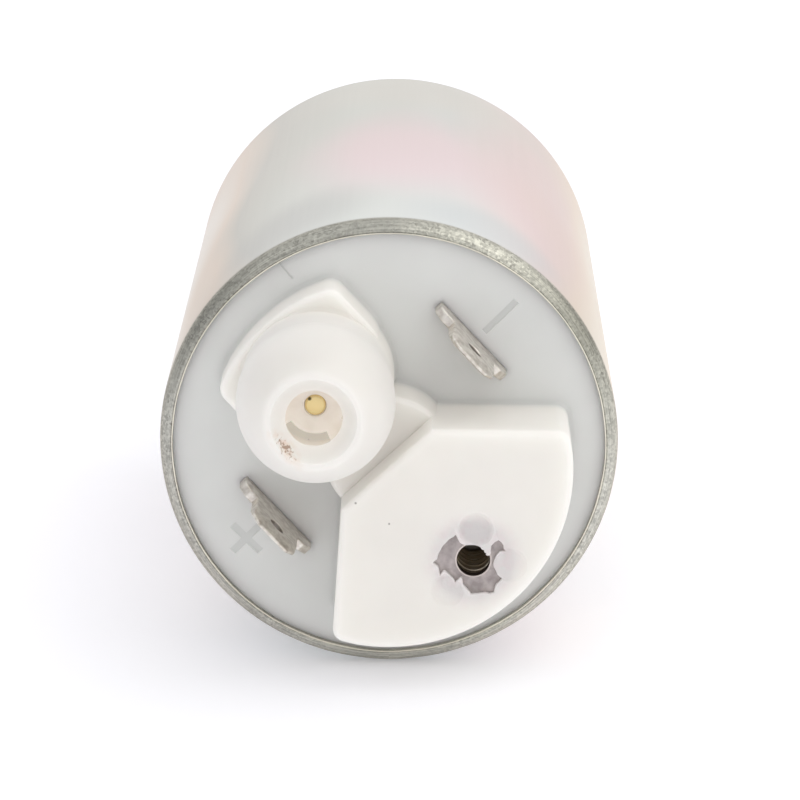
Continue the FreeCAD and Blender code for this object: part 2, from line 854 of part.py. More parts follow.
def make_spring(name, centre, bottom, top, coil, wire, turns):
    """A compression spring between two levels, wound as one unbroken wire."""
    rise = top.value - bottom.value
    count = turns.value
    pitch = rise / count
    base = Vector(*(as_size(size).value for size in centre), bottom.value)
    steps = round(count * 2)
    stops = [helix_point(coil.value, pitch, count * step / steps) for step in range(steps + 1)]
    edges = []
    for (low, low_way), (high, high_way) in zip(stops, stops[1:]):
        edges += biarc(base + low, low_way, base + high, high_way)
    tube(name, edges, base + stops[0][0], stops[0][1], wire.value / 2)

    samples = [helix_point(coil.value, pitch, count * i / 400)[0] for i in range(401)]
    apart = round(400 / count / 2)
    least = min(
        (samples[i] - samples[j]).Length
        for i in range(0, 401, 4) for j in range(i + apart, 401)
    )
    print(f"{name}: least gap to itself {least - wire.value:.2f} mm")


def make_motor():
    """Rotor, magnets, brushes, bearings and chokes."""
    shaft = new_body("armature_shaft")
    sketch = sketch_on(shaft, "shaft_outline", level=shaft_end)
    circle(sketch, (0, 0), s.shaft_radius)
    pad(shaft, "shaft", sketch, shaft_top - shaft_end)
    flat_top = inlet_split + s.impeller_thick + s.impeller_play * 2
    sketch = sketch_on(shaft, "flat_outline", level=flat_top)
    width = s.shaft_radius
    box_outline(sketch, (s.shaft_flat + width / 2, 0), (width, width * 3))
    pocket(shaft, "drive_flat", sketch, s.impeller_thick + 1)

    ring("upper_bearing", bearing_bore, s.bearing_radius, bearing_top - s.bearing_length, bearing_top)
    lower_top = body_hub - s.bearing_sink
    ring("lower_bearing", bearing_bore, s.bearing_radius, lower_top - s.bearing_length, lower_top)

    make_stack("armature_core", core_end, core_length, core_radius)
    insulator_radius = core_radius - s.seat_gap * 2
    make_stack("armature_insulator_upper", core_top, s.insulator_thick, insulator_radius)
    make_stack("armature_insulator_lower", core_end - s.insulator_thick, s.insulator_thick,
               insulator_radius)
    make_windings()

    hub_radius = s.commutator_radius - s.hook_reach - s.seat_gap
    ring("commutator_hub", press_bore, hub_radius, hub_top - s.hub_height, hub_top)
    segments = new_body("commutator_segments")
    segments.AllowCompound = True
    edge = as_size(180) / s.segment_count - s.segment_gap
    sketch = sketch_on(segments, "segment_outline", level=hub_top)
    outline(sketch, [
        polar(s.commutator_bore, -edge),
        polar(s.commutator_radius, -edge),
        (*polar(s.commutator_radius, edge), s.commutator_radius, 1),
        polar(s.commutator_bore, edge),
    ])
    first = pad(segments, "segment", sketch, s.segment_thick)
    sketch = sketch_on(segments, "hook_outline", level=hub_top - s.segment_thick)
    box_outline(sketch, (s.commutator_radius, 0), (s.hook_reach * 2, s.hook_width))
    second = pad(segments, "hook", sketch, s.segment_thick * 2 - s.lead_radius)
    repeat(segments, "segments", [first, second], s.segment_count)

    ring("thrust_washer", press_bore, s.bearing_radius, washer_low, washer_low + s.insulator_thick)

    for name, turn in (("magnet_left", 0), ("magnet_right", 180)):
        magnet = new_body(name)
        sketch = sketch_on(magnet, f"{name}_outline", "XZ_Plane")
        low = core_end - s.magnet_overhang
        high = core_top + s.magnet_overhang
        outline(sketch, [
            (magnet_inner, low), (case_radius, low), (case_radius, high), (magnet_inner, high),
        ])
        spin(magnet, "Revolution", f"{name}_arc", sketch, angle=s.magnet_arc, Midplane=True)
        magnet.Placement = Placement(Vector(), Rotation(Vector(0, 0, 1), turn))

    for name, turn in (("magnet_clip_upper", 0), ("magnet_clip_lower", 180)):
        make_clip(name, turn)

    for name, side in (("positive", 1), ("negative", -1)):
        make_brush_side(name, side)


def make_stack(name, bottom, length, radius):
    """A slotted disc or stack on the shaft."""
    body = new_body(name)
    sketch = sketch_on(body, f"{name}_outline", level=bottom)
    circle(sketch, (0, 0), radius)
    circle(sketch, (0, 0), press_bore)
    pad(body, f"{name}_stack", sketch, length)
    sketch = sketch_on(body, f"{name}_slot_outline", level=bottom + length)
    shoulder = radius - s.slot_lip
    outline(sketch, [
        (radius + 1, -s.slot_mouth / 2),
        (radius + 1, s.slot_mouth / 2),
        (shoulder, s.slot_mouth / 2),
        (shoulder - s.slot_mouth / 3, s.slot_width / 2),
        (s.slot_root, s.slot_root_width / 2),
        (s.slot_root, -s.slot_root_width / 2),
        (shoulder - s.slot_mouth / 3, -s.slot_width / 2),
        (shoulder, -s.slot_mouth / 2),
    ])
    slot = pocket(body, f"{name}_slot", sketch, length)
    repeat(body, f"{name}_slots", [slot], s.segment_count)


def make_windings():
    """Copper windings: a bar in each slot and a rounded head at each end."""
    body = new_body("armature_windings")
    inner = s.slot_root - s.bar_gap * 3
    outer = core_radius - s.slot_lip
    bend = s.winding_height / 2
    top = core_top + s.insulator_thick
    bottom = core_end - s.insulator_thick
    sketch = sketch_on(body, "bar_outline", level=bottom)
    shoulder = outer - s.slot_mouth / 3 - s.bar_gap
    root_half = s.slot_root_width / 2 - s.bar_gap / 3
    wide_half = s.slot_width / 2 - s.bar_gap
    outline(sketch, [
        (s.slot_root + s.bar_gap, -root_half),
        (shoulder, -wide_half),
        (shoulder, wide_half),
        (s.slot_root + s.bar_gap, root_half),
    ])
    bar = pad(body, "bar", sketch, top - bottom)
    bars = repeat(body, "bars", [bar], s.segment_count)
    for name, low, side in (("upper", top, 1), ("lower", bottom, -1)):
        high = low + s.winding_height * side
        mid = low + bend * side
        sketch = sketch_on(body, f"head_outline_{name}", "XZ_Plane")
        outline(sketch, [
            (inner, low),
            (outer, low),
            (outer, mid),
            (outer - bend, high),
            (inner + bend, high),
            (inner, mid),
        ])
        spin(body, "Revolution", f"head_{name}", sketch)


def make_clip(name, turn):
    """Sprung steel channel that pushes the two magnets apart."""
    body = new_body(name)
    gap_edge = s.magnet_arc / 2 + s.clip_ease
    thin = s.clip_thick / case_radius * (180 / math.pi)
    low = gap_edge
    high = as_size(180) - gap_edge
    outer = case_radius
    inner = case_radius - s.clip_reach
    web = case_radius - s.clip_thick
    bottom = core_end - s.magnet_overhang + s.clip_inset
    sketch = sketch_on(body, f"{name}_outline", level=bottom)
    outline(sketch, [
        polar(inner, low),
        polar(outer, low),
        (*polar(outer, high), outer, 1),
        polar(inner, high),
        polar(inner, high - thin),
        polar(web, high - thin),
        (*polar(web, low + thin), web, -1),
        polar(inner, low + thin),
    ])
    pad(body, f"{name}_strip", sketch, core_length + (s.magnet_overhang - s.clip_inset) * 2)
    body.Placement = Placement(Vector(), Rotation(Vector(0, 0, 1), turn))


def make_brush_side(name, side):
    """One side's brush, brush spring, lead and suppression choke."""
    body = new_body(f"brush_{name}")
    low = commutator_level + s.spring_seat
    sketch = sketch_on(body, f"brush_{name}_outline", level=low)
    box_outline(sketch, (0, s.brush_offset * side), (s.brush_width, s.brush_depth))
    pad(body, f"brush_{name}_block", sketch, s.brush_length)
    brush_top = low + s.brush_length
    seat = s.brush_wire / 2 + s.spring_seat
    make_spring(f"brush_spring_{name}", (0, s.brush_offset * side), brush_top + seat,
                face - s.brush_roof - seat, s.brush_coil, s.brush_wire, s.brush_turns)

    core_low = outlet_seat - s.choke_length - s.choke_seat
    place = (-choke_shift, s.choke_offset * side)
    core = new_body(f"choke_core_{name}")
    sketch = sketch_on(core, f"choke_core_{name}_outline", level=core_low)
    circle(sketch, place, s.choke_core_radius)
    pad(core, f"choke_core_{name}_rod", sketch, outlet_seat + s.choke_seat - core_low)

    coil = new_body(f"choke_coil_{name}")
    coil_low = core_low + s.choke_seat / 2
    sketch = sketch_on(coil, f"choke_coil_{name}_outline", level=coil_low)
    circle(sketch, place, s.choke_radius)
    circle(sketch, place, s.choke_core_radius + s.seat_gap)
    pad(coil, f"choke_coil_{name}_winding", sketch, s.choke_length - s.choke_seat / 2)
    wire_level = outlet_seat - s.leg_drop / 2
    sketch = sketch_on(coil, f"choke_lead_{name}_outline", "YZ_Plane",
                       level=s.blade_shift - s.leg_width / 2)
    circle(sketch, (s.blade_offset * side, wire_level), s.lead_radius)
    run = s.blade_shift - s.leg_width / 2 + choke_shift - s.choke_radius + s.lead_radius
    pad(coil, f"choke_lead_{name}", sketch, run, Reversed=True)

    brush_side = (s.brush_offset + s.brush_depth / 2) * side
    start = Vector((-s.lead_radius * 2).value, brush_side.value, (low + s.brush_length / 2).value)
    end = Vector((s.choke_radius - choke_shift).value, (s.choke_offset * side).value,
                 (coil_low + s.choke_seat).value)
    edges = biarc(start, Vector(0, side, 0), end, Vector(-1, 0, 0))
    tube(f"brush_lead_{name}", edges, start, Vector(0, side, 0), SIZES["lead_radius"])


def make_pump_stage():
    """Pump body, impeller and inlet cover of the side channel stage."""
    case = impeller_radius + s.impeller_gap
    ceiling = inlet_split + s.impeller_thick + s.impeller_play * 2
    bearing_floor = body_hub - s.bearing_sink - s.bearing_length
    body = turned("pump_body", [
        (bearing_pocket, body_hub),
        (bearing_pocket, bearing_floor),
        (s.shaft_radius + s.shaft_clear, bearing_floor),
        (s.shaft_radius + s.shaft_clear, ceiling),
        (case, ceiling),
        (case, inlet_split),
        (flange_radius, inlet_split),
        (flange_radius, inlet_seat),
        (case_radius, inlet_seat),
        (case_radius, body_top),
        (s.body_hub_radius, body_top),
        (s.body_hub_radius, body_hub),
    ])
    channel_groove(body, "body_channel", ceiling, 1)
    middle = (vane_inner + vane_outer) / 2
    sketch = sketch_on(body, "outlet_port_outline", level=body_top)
    circle(sketch, polar(middle, s.port_angle), s.port_radius)
    pocket(body, "outlet_port", sketch, s.body_height - s.impeller_thick)

    wheel = new_body("impeller")
    sketch = sketch_on(wheel, "impeller_outline", level=inlet_split + s.impeller_play)
    circle(sketch, (0, 0), impeller_radius)
    pad(wheel, "disc", sketch, s.impeller_thick)
    top = inlet_split + s.impeller_play + s.impeller_thick
    sketch = sketch_on(wheel, "drive_hole_outline", level=top)
    drive = s.shaft_radius + s.shaft_gap
    flat = s.shaft_flat + s.shaft_gap
    half_flat = root(drive * drive - flat * flat)
    outline(sketch, [
        (flat, -half_flat, drive, 1),
        (flat, half_flat),
        (-drive, 0, drive, 1),
    ])
    pocket(wheel, "drive_hole", sketch, s.impeller_thick)
    sketch = sketch_on(wheel, "vane_outline", level=top)
    outline(sketch, [
        (vane_inner, -s.vane_slot / 2),
        (middle, -s.vane_slot / 2 - s.vane_rake),
        (vane_outer, -s.vane_slot / 2),
        (vane_outer, s.vane_slot / 2),
        (middle, s.vane_slot / 2 - s.vane_rake),
        (vane_inner, s.vane_slot / 2),
    ])
    slot = pocket(wheel, "vane", sketch, s.impeller_thick)
    repeat(wheel, "vanes", [slot], s.vane_count)
    sketch = sketch_on(wheel, "balance_outline", level=top)
    circle(sketch, (impeller_radius / 2, 0), s.vane_slot)
    balance = pocket(wheel, "balance", sketch, s.impeller_thick)
    repeat(wheel, "balance_holes", [balance], s.balance_count)

    recess_floor = pad_top - s.pad_thick
    boss_end = inlet_face - s.inlet_boss_height
    cover = turned("inlet_cover", [
        (0, recess_floor),
        (0, boss_end),
        (s.inlet_boss_radius, boss_end),
        (s.inlet_boss_radius + s.inlet_boss_draft, inlet_face),
        (flange_radius - s.cover_edge, inlet_face),
        (flange_radius, inlet_face + s.cover_edge),
        (flange_radius, inlet_split),
        (s.pad_radius + s.seat_gap, inlet_split),
        (s.pad_radius + s.seat_gap, recess_floor),
    ])
    channel_groove(cover, "inlet_channel", inlet_split, -1)
    place = polar(s.inlet_offset, -s.port_angle)
    tube_end = inlet_face - s.inlet_length
    sketch = sketch_on(cover, "inlet_tube_outline", level=inlet_face)
    circle(sketch, place, s.inlet_radius)
    pad(cover, "inlet_tube", sketch, s.inlet_length, Reversed=True)
    sketch = sketch_on(cover, "inlet_bead_outline", level=tube_end + s.inlet_bead_width)
    circle(sketch, place, s.inlet_radius + s.inlet_bead)
    pad(cover, "inlet_bead", sketch, s.inlet_bead_width)
    rim = s.inlet_radius.value
    soften(cover, "Chamfer", "inlet_rim", s.inlet_bead, lambda edge: (
        hasattr(edge.Curve, "Radius") and abs(edge.Curve.Radius - rim) < 0.001
        and abs(edge.Curve.Center.z - tube_end.value) < 0.001
    ))
    sketch = sketch_on(cover, "inlet_bore_outline", level=inlet_split - s.inlet_bead_width)
    circle(sketch, place, s.inlet_bore)
    pocket(cover, "inlet_bore", sketch, s.inlet_length + s.cover_flange)
    sketch = sketch_on(cover, "inlet_port_outline", level=inlet_split)
    circle(sketch, polar(middle, -s.port_angle), s.port_radius)
    pocket(cover, "inlet_port", sketch, s.port_depth)
    sketch = sketch_on(cover, "vent_outline", level=inlet_split)
    circle(sketch, (vane_inner, 0), s.vent_radius)
    pocket(cover, "vent", sketch, s.cover_flange + 1)

    ring_pad = new_body("thrust_pad")
    sketch = sketch_on(ring_pad, "pad_outline", level=recess_floor)
    circle(sketch, (0, 0), s.pad_radius)
    pad(ring_pad, "pad_disc", sketch, s.pad_thick)


def channel_groove(body, name, level, side):
    """The side channel: a groove with sloping sides over most of a turn beside the vanes."""
    sketch = sketch_on(body, f"{name}_outline", "XZ_Plane")
    floor = level + s.channel_depth * side
    outline(sketch, [
        (vane_inner, level),
        (vane_outer, level),
        (vane_outer - s.channel_slope, floor),
        (vane_inner + s.channel_slope, floor),
    ])
    spin(body, "Groove", name, sketch, angle=s.channel_arc, Midplane=True)


make_can()
make_outlet_cover()
make_terminal("terminal_positive", 1)
make_terminal("terminal_negative", -1)
head_top, guide_bottom = make_check_valve()
shift_to_nozzle({"check_valve_guide", "check_valve_seat", "check_valve_seal", "check_valve_stem"})
check_seat = s.check_wire / 2 + s.spring_seat
make_spring("check_valve_spring", (s.nozzle_offset, 0), head_top + check_seat,
            guide_bottom - check_seat, s.check_coil, s.check_wire, s.check_turns)
relief_bottom = make_relief_valve()
make_spring("relief_valve_spring", (-s.relief_offset, 0), relief_bottom + s.spring_seat,
            washer_seat - s.relief_wire / 2 - s.spring_seat, s.relief_coil, s.relief_wire,
            s.relief_turns)
make_motor()
make_pump_stage()
doc.recompute()

for node in nodes:
    node.Placement = LAID_DOWN.multiply(node.Placement)
doc.recompute()

for thing in doc.Objects:
    if {"Invalid", "Error"} & set(thing.State):
        raise RuntimeError(f"{thing.Label} failed: {thing.State} {thing.getStatusString()}")
for node in nodes:
    if node.Shape.isNull() or not node.Shape.isValid():
        raise RuntimeError(f"{node.Label} has no valid shape")
    if not node.Shape.Solids:
        raise RuntimeError(f"{node.Label} holds no solid")
for node in nodes:
    node.Shape.exportStep(f"parts/{node.Label}.step")
print(f"{len(nodes)} sub-parts written")
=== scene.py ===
import json
import math
from functools import cache, partial
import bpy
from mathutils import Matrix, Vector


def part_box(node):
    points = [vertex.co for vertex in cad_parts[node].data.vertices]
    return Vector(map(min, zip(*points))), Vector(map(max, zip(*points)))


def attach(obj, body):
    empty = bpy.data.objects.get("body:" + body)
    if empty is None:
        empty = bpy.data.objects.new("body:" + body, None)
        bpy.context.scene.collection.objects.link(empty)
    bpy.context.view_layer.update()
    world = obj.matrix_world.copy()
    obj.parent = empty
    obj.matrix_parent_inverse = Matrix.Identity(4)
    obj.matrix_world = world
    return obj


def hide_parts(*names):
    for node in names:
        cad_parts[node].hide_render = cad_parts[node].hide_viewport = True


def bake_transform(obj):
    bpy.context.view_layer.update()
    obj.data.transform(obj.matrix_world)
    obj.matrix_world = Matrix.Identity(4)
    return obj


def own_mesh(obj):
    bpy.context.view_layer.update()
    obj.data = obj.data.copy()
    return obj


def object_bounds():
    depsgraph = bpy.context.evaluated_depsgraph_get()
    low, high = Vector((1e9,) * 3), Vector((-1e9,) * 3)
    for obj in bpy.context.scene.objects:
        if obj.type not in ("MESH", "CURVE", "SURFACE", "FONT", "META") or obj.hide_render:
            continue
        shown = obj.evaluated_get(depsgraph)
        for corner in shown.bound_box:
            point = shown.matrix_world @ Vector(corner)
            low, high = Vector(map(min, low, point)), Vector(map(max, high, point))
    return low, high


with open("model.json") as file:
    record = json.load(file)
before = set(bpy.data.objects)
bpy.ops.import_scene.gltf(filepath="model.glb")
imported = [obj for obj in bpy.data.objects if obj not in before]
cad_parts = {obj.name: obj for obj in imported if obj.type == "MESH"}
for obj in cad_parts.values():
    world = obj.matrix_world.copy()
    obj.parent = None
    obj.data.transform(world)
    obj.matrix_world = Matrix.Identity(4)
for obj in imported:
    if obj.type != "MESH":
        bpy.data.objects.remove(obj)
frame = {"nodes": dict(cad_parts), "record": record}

from types import SimpleNamespace

import bmesh
import bpy
from mathutils import Matrix, Vector, noise

bl_info = {
    "name": "In-tank fuel pump",
    "version": (1, 0, 0),
    "blender": (4, 5, 0),
    "location": "View3D > Sidebar > Fuel pump",
    "description": "Finishes and pieces of an electric fuel pump, built round its fixed frame",
    "category": "Add Mesh",
}

# Shapes are drawn in millimetres in the pump's own axes: z runs along the can towards the outlet,
# x points from the can's axis to the nozzle, y to the positive terminal. LAID_DOWN takes them to
# the frame, where the pump lies on its side with its outlet facing -Y.
MM = 0.001
cad_low, cad_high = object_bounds()
mounts = {mount["name"]: mount for mount in frame["record"]["mounts"]}
nozzle_x, _, nozzle_z = mounts["outlet_nozzle"]["pos_m"]
NOZZLE_TURN = math.atan2(nozzle_z, nozzle_x)
NOZZLE_OFFSET = math.hypot(nozzle_x, nozzle_z) / MM
CAN_RADIUS = mounts["can_body"]["dims"]["r_mm"]
CAN_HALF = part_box("motor_can")[1].y / MM
NOZZLE_TOP = -cad_low.y / MM
LAID_DOWN = (
    Matrix.Rotation(math.radians(90), 4, "X")
    @ Matrix.Rotation(NOZZLE_TURN, 4, "Z")
    @ Matrix.Scale(MM, 4)
)
FLOOR = -CAN_RADIUS * MM

RING_STEPS = 192
SMALL_RING_STEPS = 48
SHARP_ANGLE = math.radians(32)


def levels(name):
    """The lowest and the highest level of a CAD node along the pump, in millimetres."""
    low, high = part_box(name)
    return -high.y / MM, -low.y / MM


# Places and sizes that several pieces share, in the pump's axes: the covers' flanges with their
# gap to the can's outside, the relief valve, and what the nozzle and the brushes sit on.
FLANGE = 4.25
COVER_GAP = 0.65
RELIEF_OFFSET = 10.25
WASHER_LOW, WASHER_TOP = levels("relief_valve_washer")
WASHER_RADIUS = 3.35
WASHER_HOLE = 1.35
STAKE_RADIUS = 1.45
GUIDE_TOP = levels("check_valve_guide")[1]
INLET_END = -levels("inlet_cover")[0]
INLET_BOSS = 1.1
FACE_RING = 15.0
FOOT_HALF = 6.5
BLADE_SHIFT = 1.95
BLADE_OFFSET = 11.0
BLADE_THICK = 0.8
SHOULDER_SINK = 2.35
HOLE_LEVEL = 4.6
BRUSH_OFFSET = 7.2
BRUSH_POCKET = (4.72, 3.92)
SLEEVE_WALL = 0.9
CHOKE_OFFSET = 11.5
LEAD_SHIFT = -0.6
# Each punch mark: its angle about the relief hole, in the frame, its distance from it and depth.
STAKES = ((86.0, 2.7, 0.15), (229.0, 3.3, 0.07), (354.0, 2.95, 0.06))
# The ragged edge of the plastic round the relief hole, anticlockwise: angle in the frame, radius.
TORN_EDGE = (
    (2, 1.68), (13, 1.87), (17, 2.05), (21, 2.3), (18.5, 2.76), (23.5, 2.66), (29, 2.76),
    (35, 2.76), (41, 2.7), (43, 2.35), (42, 1.95), (33, 1.68), (25, 1.56), (20, 1.42), (22, 1.2),
    (28, 1.13), (34, 1.22), (40, 1.15), (48, 1.26), (56, 1.2), (65, 1.31), (75, 1.34), (86, 1.36),
    (102, 1.4), (113, 1.45), (121, 1.62), (125.5, 1.9), (124.5, 2.24), (123, 2.66), (128, 2.62),
    (137, 2.7), (153, 2.8), (168, 2.9), (177, 2.95), (182, 3.3), (187, 3.0), (190, 2.89),
    (200, 2.92), (204.5, 2.97), (200.5, 2.7), (198, 2.48), (203, 2.38), (214, 2.25), (225, 2.22),
    (231, 2.33), (231.5, 2.05), (233, 1.72), (239, 1.75), (247, 2.14), (258, 2.43), (264, 2.62),
    (266, 2.8), (277, 2.78), (290, 2.84), (295, 3.08), (302, 3.15), (308, 2.85), (312, 2.72),
    (319, 2.72), (327.5, 2.77), (329.5, 2.28), (336, 1.99), (343, 1.73), (351, 1.63),
)
# The signs' strokes as (start, end, share of the stroke width), right of and above the axis.
SIGNS = (
    ((7.9, 9.58), (10.43, 12.11), 0.9),
    ((-12.98, -9.32), (-10.74, -7.08), 1.0),
    ((-12.98, -7.08), (-10.74, -9.32), 1.0),
    ((-9.02, 15.39), (-7.89, 14.05), 0.22),
)
DIRT_PLACE = (-8.0, 3.95, 47.3)
BRASS_DARK_SPOT = (-6.2, 6.75, 42.8)
# Specks of dirt: place right of and above the axis and along it, and share of width to height.
SPECKS = ((1.95, 5.2, 36.3, 2.4), (-2.59, -2.62, 40.5, 1.1), (0.12, -4.35, 40.5, 0.9),
          (-6.4, 2.37, 39.8, 1.1))
# Patches of the can's film: place right of and above the axis and along it, half width and half
# length in millimetres, strength and colour.
FILM_PATCHES = (
    (2, 19, 4, 12, 17, 0.75, "#f3e0e4"),
    (13, 14, 3, 7, 28, 0.7, "#f1dfe0"),
    (-8, 17, 24, 7, 9, 0.6, "#cfd0ce"),
    (8, 17, 27, 7, 7, 0.6, "#d6dbdc"),
    (-18, -3, -12, 8, 17, 0.8, "#eddadd"),
    (17, -9, 8, 8, 14, 0.8, "#d9dedb"),
    (0, -19, 6, 14, 18, 0.7, "#eadadb"),
    (3, 19, -26, 12, 9, 0.7, "#e6e5e0"),
)


def linear(code):
    """A linear colour from an sRGB hex code."""
    channels = [int(code[i:i + 2], 16) / 255 for i in (1, 3, 5)]
    return tuple(c / 12.92 if c <= 0.04045 else ((c + 0.055) / 1.055) ** 2.4 for c in channels)


def length(value, name, description):
    """A size that a user may change, given in millimetres."""
    return bpy.props.FloatProperty(
        name=name, description=description, default=value * MM, min=0.0, unit="LENGTH", precision=5
    )


def colour(code, name, description):
    """A colour that a user may change."""
    return bpy.props.FloatVectorProperty(
        name=name, description=description, default=linear(code), min=0.0, max=1.0, subtype="COLOR"
    )


class PumpSizes(bpy.types.PropertyGroup):
    face_drop: length(0.65, "Face depth", "How far the cover's face lies behind the can's lip")
    roll_depth: length(1.45, "Roll depth", "Length over which the can's edge is rolled inwards")
    roll_reach: length(0.95, "Roll reach", "How far the rolled edge comes inwards")
    lip_reach: length(1.14, "Lip reach", "Distance from the can's outside to the lip's inner edge")
    cover_edge: length(0.4, "Cover edge", "Rounding of the cover's rim")
    boss_radius: length(5.35, "Boss radius", "Radius of the bearing boss at its foot")
    boss_height: length(4.65, "Boss height", "Height of the bearing boss over the face")
    nozzle_radius: length(6.2, "Nozzle radius", "Radius of the nozzle's plain body")
    bead_radius: length(6.4, "Bead radius", "Radius of the ring that holds the hose")
    bead_height: length(10.3, "Bead height", "Height of the ring's front edge over the face")
    throat_radius: length(2.27, "Throat radius", "Narrowest radius of the nozzle's bore")
    block_height: length(8.65, "Block height", "Height of the relief valve block over the face")
    foot_height: length(4.6, "Foot height", "Height of the nozzle's foot over the face")
    junction: length(0.4, "Junction round", "Rounding where the raised shapes meet")
    mark_width: length(0.6, "Mark width", "Width of the polarity signs' strokes")
    mark_depth: length(0.08, "Mark depth", "How deep the polarity signs are sunk")
    blade_edge: length(0.13, "Blade edge", "Coined edge of the terminals")
    spangle: length(0.2, "Spangle", "Size of the zinc coating's crystals")


class PumpColours(bpy.types.PropertyGroup):
    plate: colour("#dddedb", "Plate", "Thin acetal over the dark motor")
    moulding: colour("#e4e1db", "Moulding", "Thick natural acetal")
    zinc: colour("#c9c8bf", "Zinc", "Zinc coating of the can")
    tin: colour("#eae5dd", "Tin", "Tin plating of the terminals")
    washer: colour("#bdb4b2", "Washer", "Dull punched steel")
    brass: colour("#ecd59c", "Brass", "Turned brass of the valve stem")
    guide: colour("#ebe4dc", "Guide", "Acetal of the valve guide")
    floor: colour("#f3f3f6", "Floor", "Seamless paper under the pump")


def sizes():
    """The sizes that a user may change, in millimetres, and the levels of the cover's face and
    of its flange's seat, which follow from them."""
    group = bpy.context.scene.pump_sizes
    size = SimpleNamespace(
        **{name: getattr(group, name) / MM for name in PumpSizes.__annotations__})
    size.face = CAN_HALF - size.face_drop
    size.seat = size.face - FLANGE
    return size


def rgba(shade):
    """A colour with its alpha, from an sRGB hex code or a linear colour."""
    return (*(linear(shade) if isinstance(shade, str) else shade), 1.0)


def feed(socket, value):
    """Links a socket to the output that feeds it, or sets it. None leaves it as it is."""
    if isinstance(value, bpy.types.NodeSocket):
        socket.id_data.links.new(value, socket)
    elif value is not None:
        socket.default_value = rgba(value) if socket.type == "RGBA" else value


def node(tree, kind, *inputs, out=None, stops=(), **settings):
    """Adds a node and gives its output, the first one unless out names another. The inputs fill
    its open sockets from the top: each is a value, a colour or the output that feeds the socket."""
    made = tree.nodes.new("ShaderNode" + kind)
    for name, value in settings.items():
        setattr(made, name, value)
    for socket, value in zip([socket for socket in made.inputs if socket.enabled], inputs):
        feed(socket, value)
    for index, (place, shade) in enumerate(stops):
        points = made.color_ramp.elements
        point = points[index] if index < len(points) else points.new(place)
        point.position = place
        point.color = rgba(shade)
    return made.outputs[out] if out else next((o for o in made.outputs if o.enabled), None)


def new_material(name):
    """A material with a Principled shader, the function that adds to its nodes, the Object
    coordinates that its patterns read, and the colours that a user may change."""
    material = bpy.data.materials.new(name)
    material.use_nodes = True
    material.node_tree.nodes.clear()
    add = partial(node, material.node_tree)
    add("OutputMaterial", add("BsdfPrincipled"))
    return material, add, add("TexCoord", out="Object"), bpy.context.scene.pump_colours


def finished(material, sockets):
    """The material, once its shader's sockets are fed."""
    shader = material.node_tree.nodes["Principled BSDF"]
    for name, value in sockets.items():
        feed(shader.inputs[name], value)
    return material


def cells(size):
    """A texture's scale for features of a size in millimetres."""
    return 1 / (size * MM)


def spot(x, z, level):
    """A place on the object, from millimetres right of and above the axis and along it."""
    return (x * MM, -level * MM, z * MM)


def from_line(add, place, x=0):
    """Distance from a line along the pump, x millimetres from its axis towards the nozzle."""
    side, up = across_frame(x, 0)
    flat = add("Mapping", place, (-side * MM, 0, -up * MM), None, (1, 0, 1))
    return add("VectorMath", flat, operation="LENGTH")


def from_spot(add, place, centre, stretch, turn=None):
    """Distance from a spot, shorter along an axis the more that it is stretched."""
    near = add("Mapping", place, spot(*centre), turn, stretch, vector_type="TEXTURE")
    return add("VectorMath", near, operation="LENGTH")


def clouded(add, place, grain, detail, *stops):
    """Clouds of a size in millimetres, and the colours that they shade through."""
    cloud = add("TexNoise", place, cells(grain), detail)
    return cloud, add("ValToRGB", cloud, stops=stops)


# Natural acetal scatters light over a couple of millimetres, blue a little less than green.
MILKY = {"Subsurface Weight": 1.0, "Subsurface Radius": (0.92, 1.0, 0.96),
         "Subsurface Scale": 2.2 * MM}


